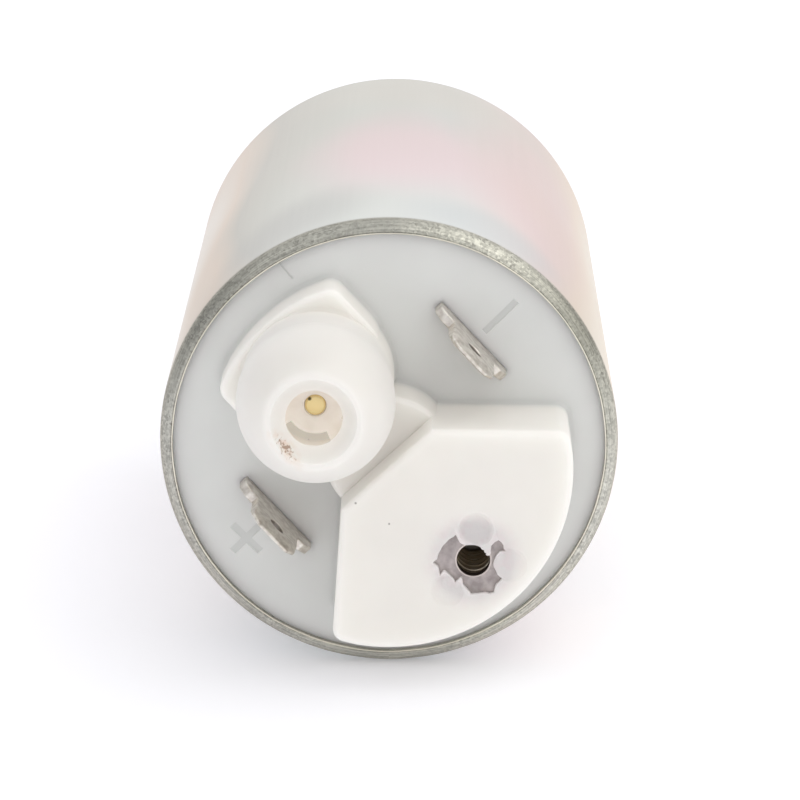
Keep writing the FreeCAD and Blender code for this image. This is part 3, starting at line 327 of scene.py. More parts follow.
def moulded_acetal():
    """Natural acetal, injection moulded: milky and warm where it is thick, greyer where the thin
    plate lets the dark motor show through, with a satin skin and a few specks of dirt. A painted
    glow, an emission, brightens the thick parts and the nozzle's bore."""
    material, add, place, tint = new_material("moulded_acetal")
    face = sizes().face
    along = add("SeparateXYZ", place, out="Y")
    thick = add("MapRange", along, -(face - 0.15) * MM, -(face + 1.6) * MM,
                interpolation_type="SMOOTHSTEP")
    body = add("Mix", thick, tint.plate, tint.moulding, data_type="RGBA")
    # The nozzle's wall is thinner than the block, and a little greyer.
    nozzle = from_line(add, place, NOZZLE_OFFSET)
    wall = add("Math", nozzle, 6.6 * MM, operation="LESS_THAN")
    barrel = add("MapRange", along, -(face + 4.9) * MM, -(face + 6.4) * MM)
    barrel = add("Math", wall, barrel, operation="MULTIPLY")
    # In the sunk signs the plate is thinner, and darker for it.
    sunk = add("MapRange", along, -(face - 0.01) * MM, -(face - 0.08) * MM)
    for mask, shade in ((barrel, "#dfdcd7"), (sunk, "#d5d6d3")):
        body = add("Mix", mask, body, shade, data_type="RGBA")
    # Flow of the melt: cloudy patches a few millimetres across.
    flow = add("TexNoise", place, cells(5), 2)
    flow = add("MapRange", flow, 0.3, 0.7, 0.965, 1.0)
    body = add("Mix", 1.0, body, flow, data_type="RGBA", blend_type="MULTIPLY")
    # Brown dirt that sticks to the wall of the nozzle's mouth, with a smudge round it.
    near = from_spot(add, place, DIRT_PLACE, (3.4, 2.6, 1.1), (0, math.radians(50), 0))
    smudge = add("MapRange", near, 0.1 * MM, 0.75 * MM, 0.6, 0.0)
    patchy = add("TexNoise", place, cells(0.55), 3)
    patchy = add("MapRange", patchy, 0.38, 0.6)
    smudge = add("Math", smudge, patchy, operation="MULTIPLY")
    reach = add("MapRange", near, 0.0, 0.72 * MM, 0.27, -0.3)
    dirt = add("TexNoise", place, cells(0.22), 3)
    dirt = add("Math", dirt, reach, operation="ADD")
    dirt = add("MapRange", dirt, 0.53, 0.66, 0.0, 0.85)
    layers = [(smudge, "#d3b8a3"), (dirt, "#9c7d64")]
    for *centre, wide in SPECKS:
        speck = from_spot(add, place, centre, (wide, 10, 1))
        speck = add("MapRange", speck, 0.04 * MM, 0.12 * MM, 0.75, 0.0)
        layers.append((speck, "#5f564c"))
    # The relief valve's bore below the washer is coloured brown, and its punched lips are thin and
    # pinkish.
    valve = from_line(add, place, -RELIEF_OFFSET)
    inside = add("Math", valve, 2.3 * MM, operation="LESS_THAN")
    deep = add("Math", along, -(WASHER_LOW + 0.02) * MM, operation="GREATER_THAN")
    bore_brown = add("Math", inside, deep, operation="MULTIPLY")
    worked = add("MapRange", valve, 2.6 * MM, 4.4 * MM, 1.0, 0.0)
    high = add("Math", along, -(WASHER_TOP - 0.3) * MM, operation="LESS_THAN")
    worked = add("Math", worked, high, operation="MULTIPLY")
    blush = add("TexNoise", place, cells(1.1), 2)
    blush = add("MapRange", blush, 0.42, 0.62, 0.0, 0.8)
    blush = add("Math", blush, worked, operation="MULTIPLY")
    layers += [(bore_brown, "#ad9877"), (blush, "#e4d8d5")]
    for mask, shade in layers:
        body = add("Mix", mask, body, shade, data_type="RGBA")
    # Painted glow: an emission stands in for the light that comes through the milky plastic, most
    # of all in the nozzle's bore, so that hollows are never dark, and it lifts the thick parts a
    # little.
    bore = add("Math", nozzle, 4.1 * MM, operation="LESS_THAN")
    hidden = add("MapRange", along, -(NOZZLE_TOP - 0.1) * MM, -(NOZZLE_TOP - 4) * MM, 0.0, 0.27)
    painted_glow = add("Math", bore, hidden, operation="MULTIPLY")
    milky = add("MapRange", barrel, 0.0, 1.0, 0.07, 0.045)
    milky = add("Math", thick, milky, operation="MULTIPLY")
    painted_glow = add("Math", painted_glow, milky, operation="ADD")
    # Spark-eroded mould: a grain of about a tenth of a millimetre, over faint sink marks. The
    # swaged plastic round the washer is crumpled.
    grain = add("TexNoise", place, cells(0.12), 2)
    sink = add("TexNoise", place, cells(4))
    crumpled = add("TexNoise", place, cells(0.7), 3)
    crumpled = add("Math", crumpled, worked, operation="MULTIPLY")
    bump = None
    for height, strength, depth in ((grain, 0.5, 0.006), (sink, 0.6, 0.05), (crumpled, 0.8, 0.16)):
        bump = add("Bump", strength, depth * MM, None, height, bump)
    return finished(material, {
        "Base Color": body, "Emission Strength": painted_glow, "Emission Color": "#eeeae4", "Normal": bump,
        "Roughness": 0.44, "IOR": 1.48, **MILKY})


def zinc_plate():
    """Zinc plated steel, rolled and passivated: a fine crystalline spangle on the worked rims,
    streaked by the rolling tool, and a faint film of interference colours over the can."""
    material, add, place, tint = new_material("zinc_plated_steel")
    size = sizes()
    parts = add("SeparateXYZ", place).node.outputs
    end = add("Math", parts["Y"], operation="ABSOLUTE")
    roll = CAN_HALF - size.roll_depth
    rim = add("MapRange", end, (roll - 0.1) * MM, (roll + 0.25) * MM)
    radius = from_line(add, place)
    turn = add("Math", parts["X"], parts["Z"], operation="ARCTAN2")
    # The rolling tool's streaks: five millimetres long and a tenth wide.
    streak = [add("Math", way, scale, operation="MULTIPLY") for way, scale in (
        (turn, CAN_RADIUS / 5), (radius, cells(0.11)), (end, cells(0.11)))]
    streak = add("TexNoise", add("CombineXYZ", *streak), 1.0, 3)
    grain = add("TexVoronoi", place, cells(size.spangle), out="Color")
    grain = add("SeparateColor", grain, out="Red")
    fine = add("TexNoise", place, cells(0.3), 4, 0.7)
    crystal = add("Mix", 0.6, grain, fine)
    worn = add("TexNoise", place, cells(9))
    worn = add("MapRange", worn, 0.35, 0.65, 0.25, 0.85)
    mottle = add("Mix", worn, crystal, streak)
    # Painted light and shade round the rim: some stretches are left bright where the highlight
    # falls, others greyed, from the bottom, clockwise.
    stretch = add("MapRange", turn, -math.pi, math.pi)
    stretch = add("ValToRGB", stretch, stops=(
        (0.0, "#ffffff"), (0.14, "#eeecec"), (0.27, "#e6e6e6"), (0.4, "#dadad8"),
        (0.5, "#dddddb"), (0.545, "#fbfbf8"), (0.62, "#f6f6f3"), (0.67, "#d6d6d2"),
        (0.72, "#fbfbf8"), (0.8, "#ffffff")))
    worked = tint.zinc
    for shade in (add("MapRange", mottle, 0.3, 0.7, 0.55, 1.26), stretch):
        worked = add("Mix", 1.0, worked, shade, data_type="RGBA", blend_type="MULTIPLY")
    # The lip's burr is bare metal, and its colour is also painted bright as the lip's thin
    # highlight line.
    lip = CAN_RADIUS - size.lip_reach
    burr = add("MapRange", radius, (lip + 0.09) * MM, (lip + 0.12) * MM, 1.0, 0.0)
    outside = add("Math", end, (CAN_HALF - 0.1) * MM, operation="GREATER_THAN")
    burr = add("Math", burr, outside, operation="MULTIPLY")
    worked = add("Mix", burr, worked, "#f2eee0", data_type="RGBA")
    # Passivation film: cream along the sides, grey-green between, with rose patches.
    cloud = add("Mapping", place, None, None, (1, 0.3, 1))
    cloud = add("TexNoise", cloud, cells(12), 1)
    shift = add("MapRange", cloud, 0.3, 0.7, -0.06, 0.06)
    across = add("MapRange", parts["X"], -CAN_RADIUS * MM, CAN_RADIUS * MM)
    film = add("Math", across, shift, operation="ADD")
    film = add("ValToRGB", film, stops=(
        (0.0, "#f6f3ee"), (0.09, "#efe5dc"), (0.18, "#dadad6"), (0.4, "#e3e6e2"),
        (0.62, "#e4e6e4"), (0.8, "#eee2df"), (0.9, "#f7ebdf"), (1.0, "#f8f2e8")))
    wander = add("Math", shift, 3 * MM, operation="MULTIPLY")
    for *centre, wide, long, share, shade in FILM_PATCHES:
        patch = from_spot(add, place, centre, (wide, long, wide))
        patch = add("Math", patch, wander, operation="ADD")
        patch = add("MapRange", patch, 0.2 * MM, 1.25 * MM, share, 0.0,
                    interpolation_type="SMOOTHSTEP")
        film = add("Mix", patch, film, shade, data_type="RGBA")
    # Draw marks run along the can, faint and half a millimetre apart.
    drawn = add("Mapping", place, None, None, (1, 0.02, 1))
    drawn = add("TexNoise", drawn, cells(0.5), 3)
    rough = add("MapRange", drawn, 0.3, 0.7, 0.4, 0.46)
    crystals = add("MapRange", mottle, 0.3, 0.7, 0.48, 0.3)
    marks = add("Math", drawn, 0.05, operation="MULTIPLY")
    relief = add("Mix", rim, marks, mottle)
    return finished(material, {
        "Base Color": add("Mix", rim, film, worked, data_type="RGBA"), "Metallic": 1.0,
        "Roughness": add("Mix", rim, rough, crystals), "Specular Tint": "#e6e1da",
        "Normal": add("Bump", 0.6, 0.03 * MM, None, relief)})


def tin_plate():
    """Tin plated brass strip, stamped: a slightly warm grey with soft mottling and bright edges."""
    material, add, place, tint = new_material("tin_plated_brass")
    cloud, body = clouded(add, place, 0.6, 4, (0.35, "#cbc3b9"), (0.6, tint.tin))
    # Painted shade: the detent holes are coloured dark inside, where shade falls.
    for side in (1, -1):
        x, z = across_frame(BLADE_SHIFT, BLADE_OFFSET * side)
        hole = add("VectorMath", place, spot(x, z, sizes().face + HOLE_LEVEL), operation="DISTANCE")
        hole = add("MapRange", hole, 0.8 * MM, 0.86 * MM, 0.6, 0.0)
        body = add("Mix", hole, body, "#6b6058", data_type="RGBA")
    # The connector's spring has scuffed the flat sides: small pits and bright scratches.
    scuff = add("TexNoise", place, cells(0.45), 4, 0.7)
    scuff = add("MapRange", scuff, 0.54, 0.66, 0.12, 0.8)
    fine = add("TexNoise", place, cells(0.16), 3)
    fine = add("Math", fine, scuff, operation="MULTIPLY")
    return finished(material, {
        "Base Color": body, "Metallic": 1.0,
        "Roughness": add("MapRange", cloud, 0.3, 0.7, 0.28, 0.42),
        "Normal": add("Bump", 0.6, 0.011 * MM, None, fine)})


def punched_steel():
    """Bare punched steel: dull, mauve grey and finely pitted."""
    material, add, place, tint = new_material("punched_steel")
    _, body = clouded(add, place, 0.9, 5, (0.3, "#9b9391"), (0.6, tint.washer))
    # The punch left a burr round the hole, painted bright as a highlight ring, and the hole's wall
    # is painted dark as the shade inside it.
    radius = from_line(add, place, -RELIEF_OFFSET)
    for reach, shade in ((WASHER_HOLE + 0.13, "#d3c9c3"), (WASHER_HOLE + 0.015, "#463a33")):
        mask = add("Math", radius, reach * MM, operation="LESS_THAN")
        body = add("Mix", mask, body, shade, data_type="RGBA")
    pits = add("TexNoise", place, cells(0.1), 3)
    return finished(material, {
        "Base Color": body, "Metallic": 0.85, "Roughness": 0.5,
        "Normal": add("Bump", 0.5, 0.01 * MM, None, pits)})


def turned_brass():
    """Turned brass: golden, with faint marks from the lathe and one small dark spot on the end."""
    material, add, place, tint = new_material("turned_brass")
    speck = add("VectorMath", place, spot(*BRASS_DARK_SPOT), operation="DISTANCE")
    speck = add("MapRange", speck, 0.1 * MM, 0.2 * MM, 0.9, 0.0)
    marks = add("TexNoise", place, cells(0.2), 4)
    return finished(material, {
        "Base Color": add("Mix", speck, tint.brass, "#3b3022", data_type="RGBA"),
        "Metallic": 1.0, "Roughness": 0.34, "Normal": add("Bump", 0.5, 0.008 * MM, None, marks)})


def spring_steel():
    """Drawn spring wire: grey near the washer, and painted darker and browner down the bore, as the
    shade that falls there.
    """
    material, add, place, _ = new_material("spring_steel")
    along = add("SeparateXYZ", place, out="Y")
    deep = add("MapRange", along, -(WASHER_LOW - 0.35) * MM, -(WASHER_LOW - 1.1) * MM)
    cloud, wire = clouded(add, place, 0.3, 4, (0.35, "#8d867b"), (0.62, "#c4bdb0"))
    return finished(material, {
        "Base Color": add("Mix", deep, wire, "#9a8c76", data_type="RGBA"),
        "Metallic": 1.0, "Roughness": 0.3, "Normal": add("Bump", 0.5, 0.01 * MM, None, cloud)})


def sand_acetal():
    """Acetal of the valve guide: sand coloured and milky, with a painted glow, an emission that
    stands in for the light coming through it.
    """
    material, add, place, tint = new_material("sand_acetal")
    cloud, body = clouded(add, place, 1.2, 3, (0.3, "#e2dad1"), (0.6, tint.guide))
    return finished(material, {
        "Base Color": body, "Roughness": 0.45, "Emission Color": "#f1ece6",
        "Emission Strength": 0.16, "Normal": add("Bump", 0.5, 0.02 * MM, None, cloud), **MILKY})


def cast_aluminium():
    """Die-cast aluminium: a dull, faintly clouded skin with orange peel and flow marks, and bright
    turned rings where the tube's end and the boss were faced on a lathe."""
    material, add, place, _ = new_material("die_cast_aluminium")
    along = add("SeparateXYZ", place, out="Y")
    cloud = add("TexNoise", place, cells(3.5), 5, 0.62)
    body = add("ValToRGB", cloud, stops=((0.25, "#a6a8aa"), (0.5, "#b6b8b9"), (0.75, "#c2c3c4")))
    boss = (sizes().face + INLET_BOSS) * MM
    over = add("Math", along, boss - 0.04 * MM, operation="GREATER_THAN")
    under = add("Math", along, boss + 0.04 * MM, operation="LESS_THAN")
    faced = add("Math", over, under, operation="MULTIPLY")
    end = add("Math", along, (INLET_END - 0.4) * MM, operation="GREATER_THAN")
    faced = add("Math", faced, end, operation="MAXIMUM")
    rough = add("MapRange", cloud, 0.3, 0.7, 0.52, 0.38)
    peel = add("TexNoise", place, cells(0.35), 3)
    rings = add("Math", from_line(add, place), 2 * math.pi * cells(0.22), operation="MULTIPLY")
    rings = add("Math", rings, operation="SINE")
    height = add("Mix", faced, peel, rings)
    return finished(material, {
        "Base Color": add("Mix", faced, body, "#dadbdb", data_type="RGBA"), "Metallic": 1.0,
        "Roughness": add("Mix", faced, rough, 0.24),
        "Normal": add("Bump", 0.5, 0.02 * MM, None, height)})


def plain_finish(name, light, dark, grain, rough, metal, depth=0.01):
    """An inner piece's finish: two shades of its colour in grains of its real size."""
    material, add, place, _ = new_material(name)
    cloud, body = clouded(add, place, grain, 4, (0.35, dark), (0.62, light))
    return finished(material, {
        "Base Color": body, "Metallic": metal, "Roughness": rough,
        "Normal": add("Bump", 0.5, depth * MM, None, cloud)})


def layered_finish(name, light, dark, pitch, rough, depth):
    """Stacked or wound metal: fine lines across the pump's axis at a real pitch."""
    material, add, place, _ = new_material(name)
    lines = add("TexWave", place, cells(pitch) / math.pi, 0.6, bands_direction="Y", out="Fac")
    return finished(material, {
        "Base Color": add("ValToRGB", lines, stops=((0.2, dark), (0.7, light))), "Metallic": 1.0,
        "Roughness": rough, "Normal": add("Bump", 0.7, depth * MM, None, lines)})


# The finish of each of the record's material slots.
FINISHES = {
    # Zinc plated and passivated steel, seen on the can.
    "plated_steel": zinc_plate,
    # Natural acetal of the outlet cover.
    "grey_acetal": moulded_acetal,
    "cast_aluminium": cast_aluminium,
    "sand_acetal": sand_acetal,
    # Natural acetal of small inner mouldings.
    "natural_acetal": lambda: plain_finish(
        "natural_acetal", "#efece4", "#e3dfd6", 1.5, 0.45, 0.0),
    "spring_steel": spring_steel,
    "brass": turned_brass,
    # Nitrile rubber of the valve's seal: black and matt.
    "seal_rubber": lambda: plain_finish("nitrile_rubber", "#2b2a29", "#1d1c1c", 0.2, 0.6, 0.0),
    "punched_steel": punched_steel,
    # Ground and hardened steel of shaft, ball and thrust pad: almost a mirror.
    "polished_steel": lambda: plain_finish(
        "ground_steel", "#cfcfd0", "#bdbdbf", 0.25, 0.16, 1.0, 0.002),
    "tinned_brass": tin_plate,
    # Enamelled copper wire, wound in layers.
    "copper": lambda: layered_finish("enamelled_copper", "#c8703f", "#6f3217", 0.45, 0.3, 0.05),
    # Sintered hard ferrite: charcoal grey and matt.
    "ferrite": lambda: plain_finish("hard_ferrite", "#4b4b4d", "#3b3b3d", 0.2, 0.62, 0.0, 0.015),
    # Oil-soaked sintered bronze of the bushes: brown and grainy.
    "sintered_bronze": lambda: plain_finish(
        "sintered_bronze", "#ab8350", "#7d5c35", 0.12, 0.42, 1.0, 0.02),
    # Stack of electrical steel sheets, half a millimetre each.
    "core_steel": lambda: layered_finish(
        "electrical_steel", "#8b8d91", "#55575b", 0.5, 0.4, 0.03),
    # Mica-filled phenolic of the commutator's hub and the impeller: dark brown.
    "phenolic": lambda: plain_finish("phenolic_resin", "#4d372a", "#35251c", 0.25, 0.4, 0.0),
    # Pressed carbon of the brushes: dark grey.
    "carbon": lambda: plain_finish("pressed_carbon", "#3c3c3e", "#2b2b2d", 0.15, 0.5, 0.0),
}


@cache
def finish_of(slot):
    """The material of a slot, made once."""
    return FINISHES[slot]()


def rounded(points, steps=5):
    """An outline of (x, y) points in which a corner (x, y, radius) becomes an arc."""
    result = []
    for index, point in enumerate(points):
        here = Vector(point[:2])
        if len(point) == 2:
            result.append(tuple(here))
            continue
        back = (Vector(points[index - 1][:2]) - here).normalized()
        ahead = (Vector(points[(index + 1) % len(points)][:2]) - here).normalized()
        half = back.angle(ahead) / 2
        centre = here + (back + ahead).normalized() * (point[2] / math.sin(half))
        start = here + back * (point[2] / math.tan(half)) - centre
        end = here + ahead * (point[2] / math.tan(half)) - centre
        sweep = math.atan2(end.y, end.x) - math.atan2(start.y, start.x)
        sweep = (sweep + math.pi) % (2 * math.pi) - math.pi
        for step in range(steps + 1):
            way = start.copy()
            way.rotate(Matrix.Rotation(sweep * step / steps, 2))
            result.append(tuple(centre + way))
    return result


def arc(start, end, radius, side, steps=12, clear=0.0):
    """Points on an arc after its start: side is 1 where the centre is left of the way. A first
    and last step of length clear leave room for rounded corners."""
    start, end = Vector(start), Vector(end)
    chord = end - start
    across = Vector((-chord.y, chord.x)).normalized() * side
    centre = (start + end) / 2 + across * math.sqrt(radius ** 2 - chord.length ** 2 / 4)
    first = math.atan2(start.y - centre.y, start.x - centre.x)
    sweep = 2 * math.asin(chord.length / 2 / radius) * side
    skip = clear / radius * side
    turns = [skip + (sweep - 2 * skip) * i / steps for i in range(1, steps + 1)]
    if clear:
        turns = [skip, *turns, sweep]
    return [
        (centre.x + radius * math.cos(first + turn), centre.y + radius * math.sin(first + turn))
        for turn in turns
    ]


def quarter(steps):
    """The steps of a quarter circle of radius 1, from its side to its top: how far each lies
    under the top and in from the side."""
    turns = [math.radians(90) * step / steps for step in range(steps + 1)]
    return [(1 - math.sin(turn), 1 - math.cos(turn)) for turn in turns]


def face_outwards(bm):
    """Turns every face of closed shapes outwards."""
    bm.normal_update()
    bmesh.ops.recalc_face_normals(bm, faces=bm.faces)


def moved(bm, vec=(0, 0, 0), turn=0.0, axis="Z"):
    """A shape, turned about an axis of the pump and then shifted."""
    bmesh.ops.rotate(bm, matrix=Matrix.Rotation(turn, 3, axis), verts=bm.verts)
    bmesh.ops.translate(bm, vec=vec, verts=bm.verts)
    return bm


def turned(outline, centre=(0, 0), steps=RING_STEPS):
    """A closed shape: an outline of (radius, level) points spun about an upright axis. A corner
    (radius, level, rounding) is rounded."""
    bm = bmesh.new()
    verts = [bm.verts.new((radius, 0, level)) for radius, level in rounded(outline)]
    for first, second in zip(verts, verts[1:] + verts[:1]):
        if first.co.x > 0 or second.co.x > 0:
            bm.edges.new((first, second))
    bmesh.ops.spin(bm, geom=bm.verts[:] + bm.edges[:], cent=(0, 0, 0), axis=(0, 0, 1),
                   angle=2 * math.pi, steps=steps, use_merge=True)
    bmesh.ops.remove_doubles(bm, verts=bm.verts, dist=1e-5)
    face_outwards(bm)
    return moved(bm, (*centre, 0))


def grown(outline, by):
    """An outline, drawn anticlockwise, with every side moved outwards."""
    result = []
    for index, point in enumerate(outline):
        here = Vector(point)
        back = (here - Vector(outline[index - 1])).normalized()
        ahead = (Vector(outline[(index + 1) % len(outline)]) - here).normalized()
        out = Vector((back.y + ahead.y, -back.x - ahead.x)).normalized()
        share = max(out.dot(Vector((ahead.y, -ahead.x))), 0.3)
        result.append(tuple(here + out * (by / share)))
    return result


def lofted(rings):
    """A closed shape through rings of as many points each: (outline, level) from the bottom."""
    bm = bmesh.new()
    loops = []
    for outline, level in rings:
        verts = [bm.verts.new((x, y, level)) for x, y in outline]
        loops.append([bm.edges.new(pair) for pair in zip(verts, verts[1:] + verts[:1])])
    for first, second in zip(loops, loops[1:]):
        bmesh.ops.bridge_loops(bm, edges=first + second)
    for loop in (loops[0], loops[-1]):
        bmesh.ops.contextual_create(bm, geom=loop)
    face_outwards(bm)
    return bm


def prism(outline, low, high, edge=0.0, foot=None, steps=4):
    """An upright prism with a rounded top edge, and a flare (level, size) at its foot."""
    rings = [(outline, low)]
    if foot:
        level, flare = foot
        rings = [(grown(outline, flare), low)]
        rings += [(grown(outline, flare * out), level + flare * up) for out, up in quarter(steps)]
    if edge:
        rings += [(grown(outline, -edge * back), high - edge * down)
                  for down, back in quarter(steps)]
    else:
        rings.append((outline, high))
    return lofted(rings)


def slab(centre, size, low, high, turn=0.0):
    """An upright box from its middle, its two widths and its levels, turned about its middle."""
    bm = bmesh.new()
    bmesh.ops.create_cube(bm, size=1.0)
    bmesh.ops.scale(bm, vec=(*size, high - low), verts=bm.verts)
    return moved(bm, (*centre, (low + high) / 2), turn)


def coil(centre, low, high, radius, wire, turns, steps=36, sides=12):
    """A coil spring of one round wire between two levels."""
    bm = bmesh.new()
    bmesh.ops.create_circle(bm, segments=sides, radius=wire / 2, cap_ends=True)
    moved(bm, (radius, 0, low + wire / 2), math.radians(90), "X")
    total = round(turns * steps)
    rise = (high - low - wire) / total
    bmesh.ops.spin(bm, geom=bm.faces[:], cent=(0, 0, 0), axis=(0, 0, 1), dvec=(0, 0, rise),
                   angle=2 * math.pi * turns, steps=total)
    face_outwards(bm)
    return moved(bm, (*centre, 0))


def mesh_of(name, bm):
    """A shape as a mesh. The shape itself is used up."""
    mesh = bpy.data.meshes.new(name)
    bm.to_mesh(mesh)
    bm.free()
    return mesh


def linked(name, data):
    """A new object in the scene."""
    thing = bpy.data.objects.new(name, data)
    bpy.context.scene.collection.objects.link(thing)
    return thing


def joined(shapes):
    """Several shapes as one."""
    whole = bmesh.new()
    for shape in shapes:
        mesh = mesh_of("part", shape)
        whole.from_mesh(mesh)
        bpy.data.meshes.remove(mesh)
    return whole


def combined(shape, others, operation):
    """A shape with others cut out of it or merged into it."""
    objects = [linked("part", mesh_of("part", bm)) for bm in (shape, *others)]
    for other in objects[1:]:
        modifier = objects[0].modifiers.new("join", "BOOLEAN")
        modifier.operation = operation
        modifier.solver = "EXACT"
        modifier.object = other
    mesh = bpy.data.meshes.new_from_object(
        objects[0].evaluated_get(bpy.context.evaluated_depsgraph_get()))
    result = bmesh.new()
    result.from_mesh(mesh)
    for thing in objects:
        bpy.data.objects.remove(thing)
    bpy.data.meshes.remove(mesh)
    if not result.verts:
        raise RuntimeError(f"The {operation.lower()} of {len(others) + 1} shapes came out empty")
    return result


def place_piece(name, bm, slot, replaced, body="pump_case", weighted=True, ends=None):
    """Lays a shape down in the frame as a finished piece that rides on a body. One with ends is
    left in the frame as it is, on no body; the two places that ends holds are not used."""
    bmesh.ops.transform(bm, matrix=LAID_DOWN, verts=bm.verts)
    mesh = mesh_of(name, bm)
    mesh.shade_smooth()
    mesh.set_sharp_from_angle(angle=SHARP_ANGLE)
    mesh.materials.append(finish_of(slot))
    piece = linked(name, mesh)
    if weighted:
        normals = piece.modifiers.new("flat_faces_stay_flat", "WEIGHTED_NORMAL")
        normals.keep_sharp = True
    if ends:
        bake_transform(piece)
    else:
        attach(piece, body)
    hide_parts(*replaced)
    return piece


def across_frame(x, y):
    """Millimetres right of and above the axis, from a place in the pump's axes."""
    return Matrix.Rotation(NOZZLE_TURN, 2) @ Vector((x, y))


def across_pump(x, z):
    """A place in the pump's axes, from millimetres right of and above its axis."""
    return Matrix.Rotation(-NOZZLE_TURN, 2) @ Vector((x, z))


def round_about(angle, reach):
    """A place round the relief hole, from its angle in the frame and its distance."""
    turn = math.radians(angle) - NOZZLE_TURN
    return reach * math.cos(turn), reach * math.sin(turn)


class PUMP_OT_can(bpy.types.Operator):
    """Rolled steel can with smooth lips at both ends"""
    bl_idname = "pump.can"
    bl_label = "Can"

    def execute(self, context):
        size = sizes()
        roll = (size.roll_reach ** 2 + size.roll_depth ** 2) / (2 * size.roll_reach)
        roll_start = CAN_HALF - size.roll_depth
        turn_in = CAN_RADIUS - size.roll_reach
        lip = CAN_RADIUS - size.lip_reach
        # The wall is 1 mm thick, and is thinned at both ends, where it is crimped.
        bore = CAN_RADIUS - 1.0
        crimp_bore = CAN_RADIUS - 0.6
        groove = (CAN_RADIUS - 0.03, roll_start + 0.04)
        upper = [(CAN_RADIUS, roll_start - 0.06), (CAN_RADIUS - 0.035, roll_start), groove]
        upper += arc(groove, (turn_in, CAN_HALF - 0.02), roll, 1, 12)
        upper += [(lip + 0.13, CAN_HALF - 0.06), (lip + 0.08, CAN_HALF - 0.01),
                  (lip + 0.04, CAN_HALF), (lip, CAN_HALF - 0.05), (lip, CAN_HALF - 0.6),
                  (crimp_bore, roll_start), (crimp_bore, size.seat), (bore, size.seat)]
        lower = [(radius, -level) for radius, level in reversed(upper)]
        can = turned(upper + lower, steps=RING_STEPS * 2)
        # A rolled edge is never quite even: it wanders by a few hundredths of a millimetre.
        for vert in can.verts:
            if abs(vert.co.z) > roll_start:
                share = (abs(vert.co.z) - roll_start) / size.roll_depth
                flat = Vector((vert.co.x, vert.co.y, 0))
                wander = noise.noise(flat * 0.35) * 0.035 * share
                vert.co += flat.normalized() * wander
        place_piece("rolled_can", can, "plated_steel", ["motor_can"], weighted=False)
        return {"FINISHED"}


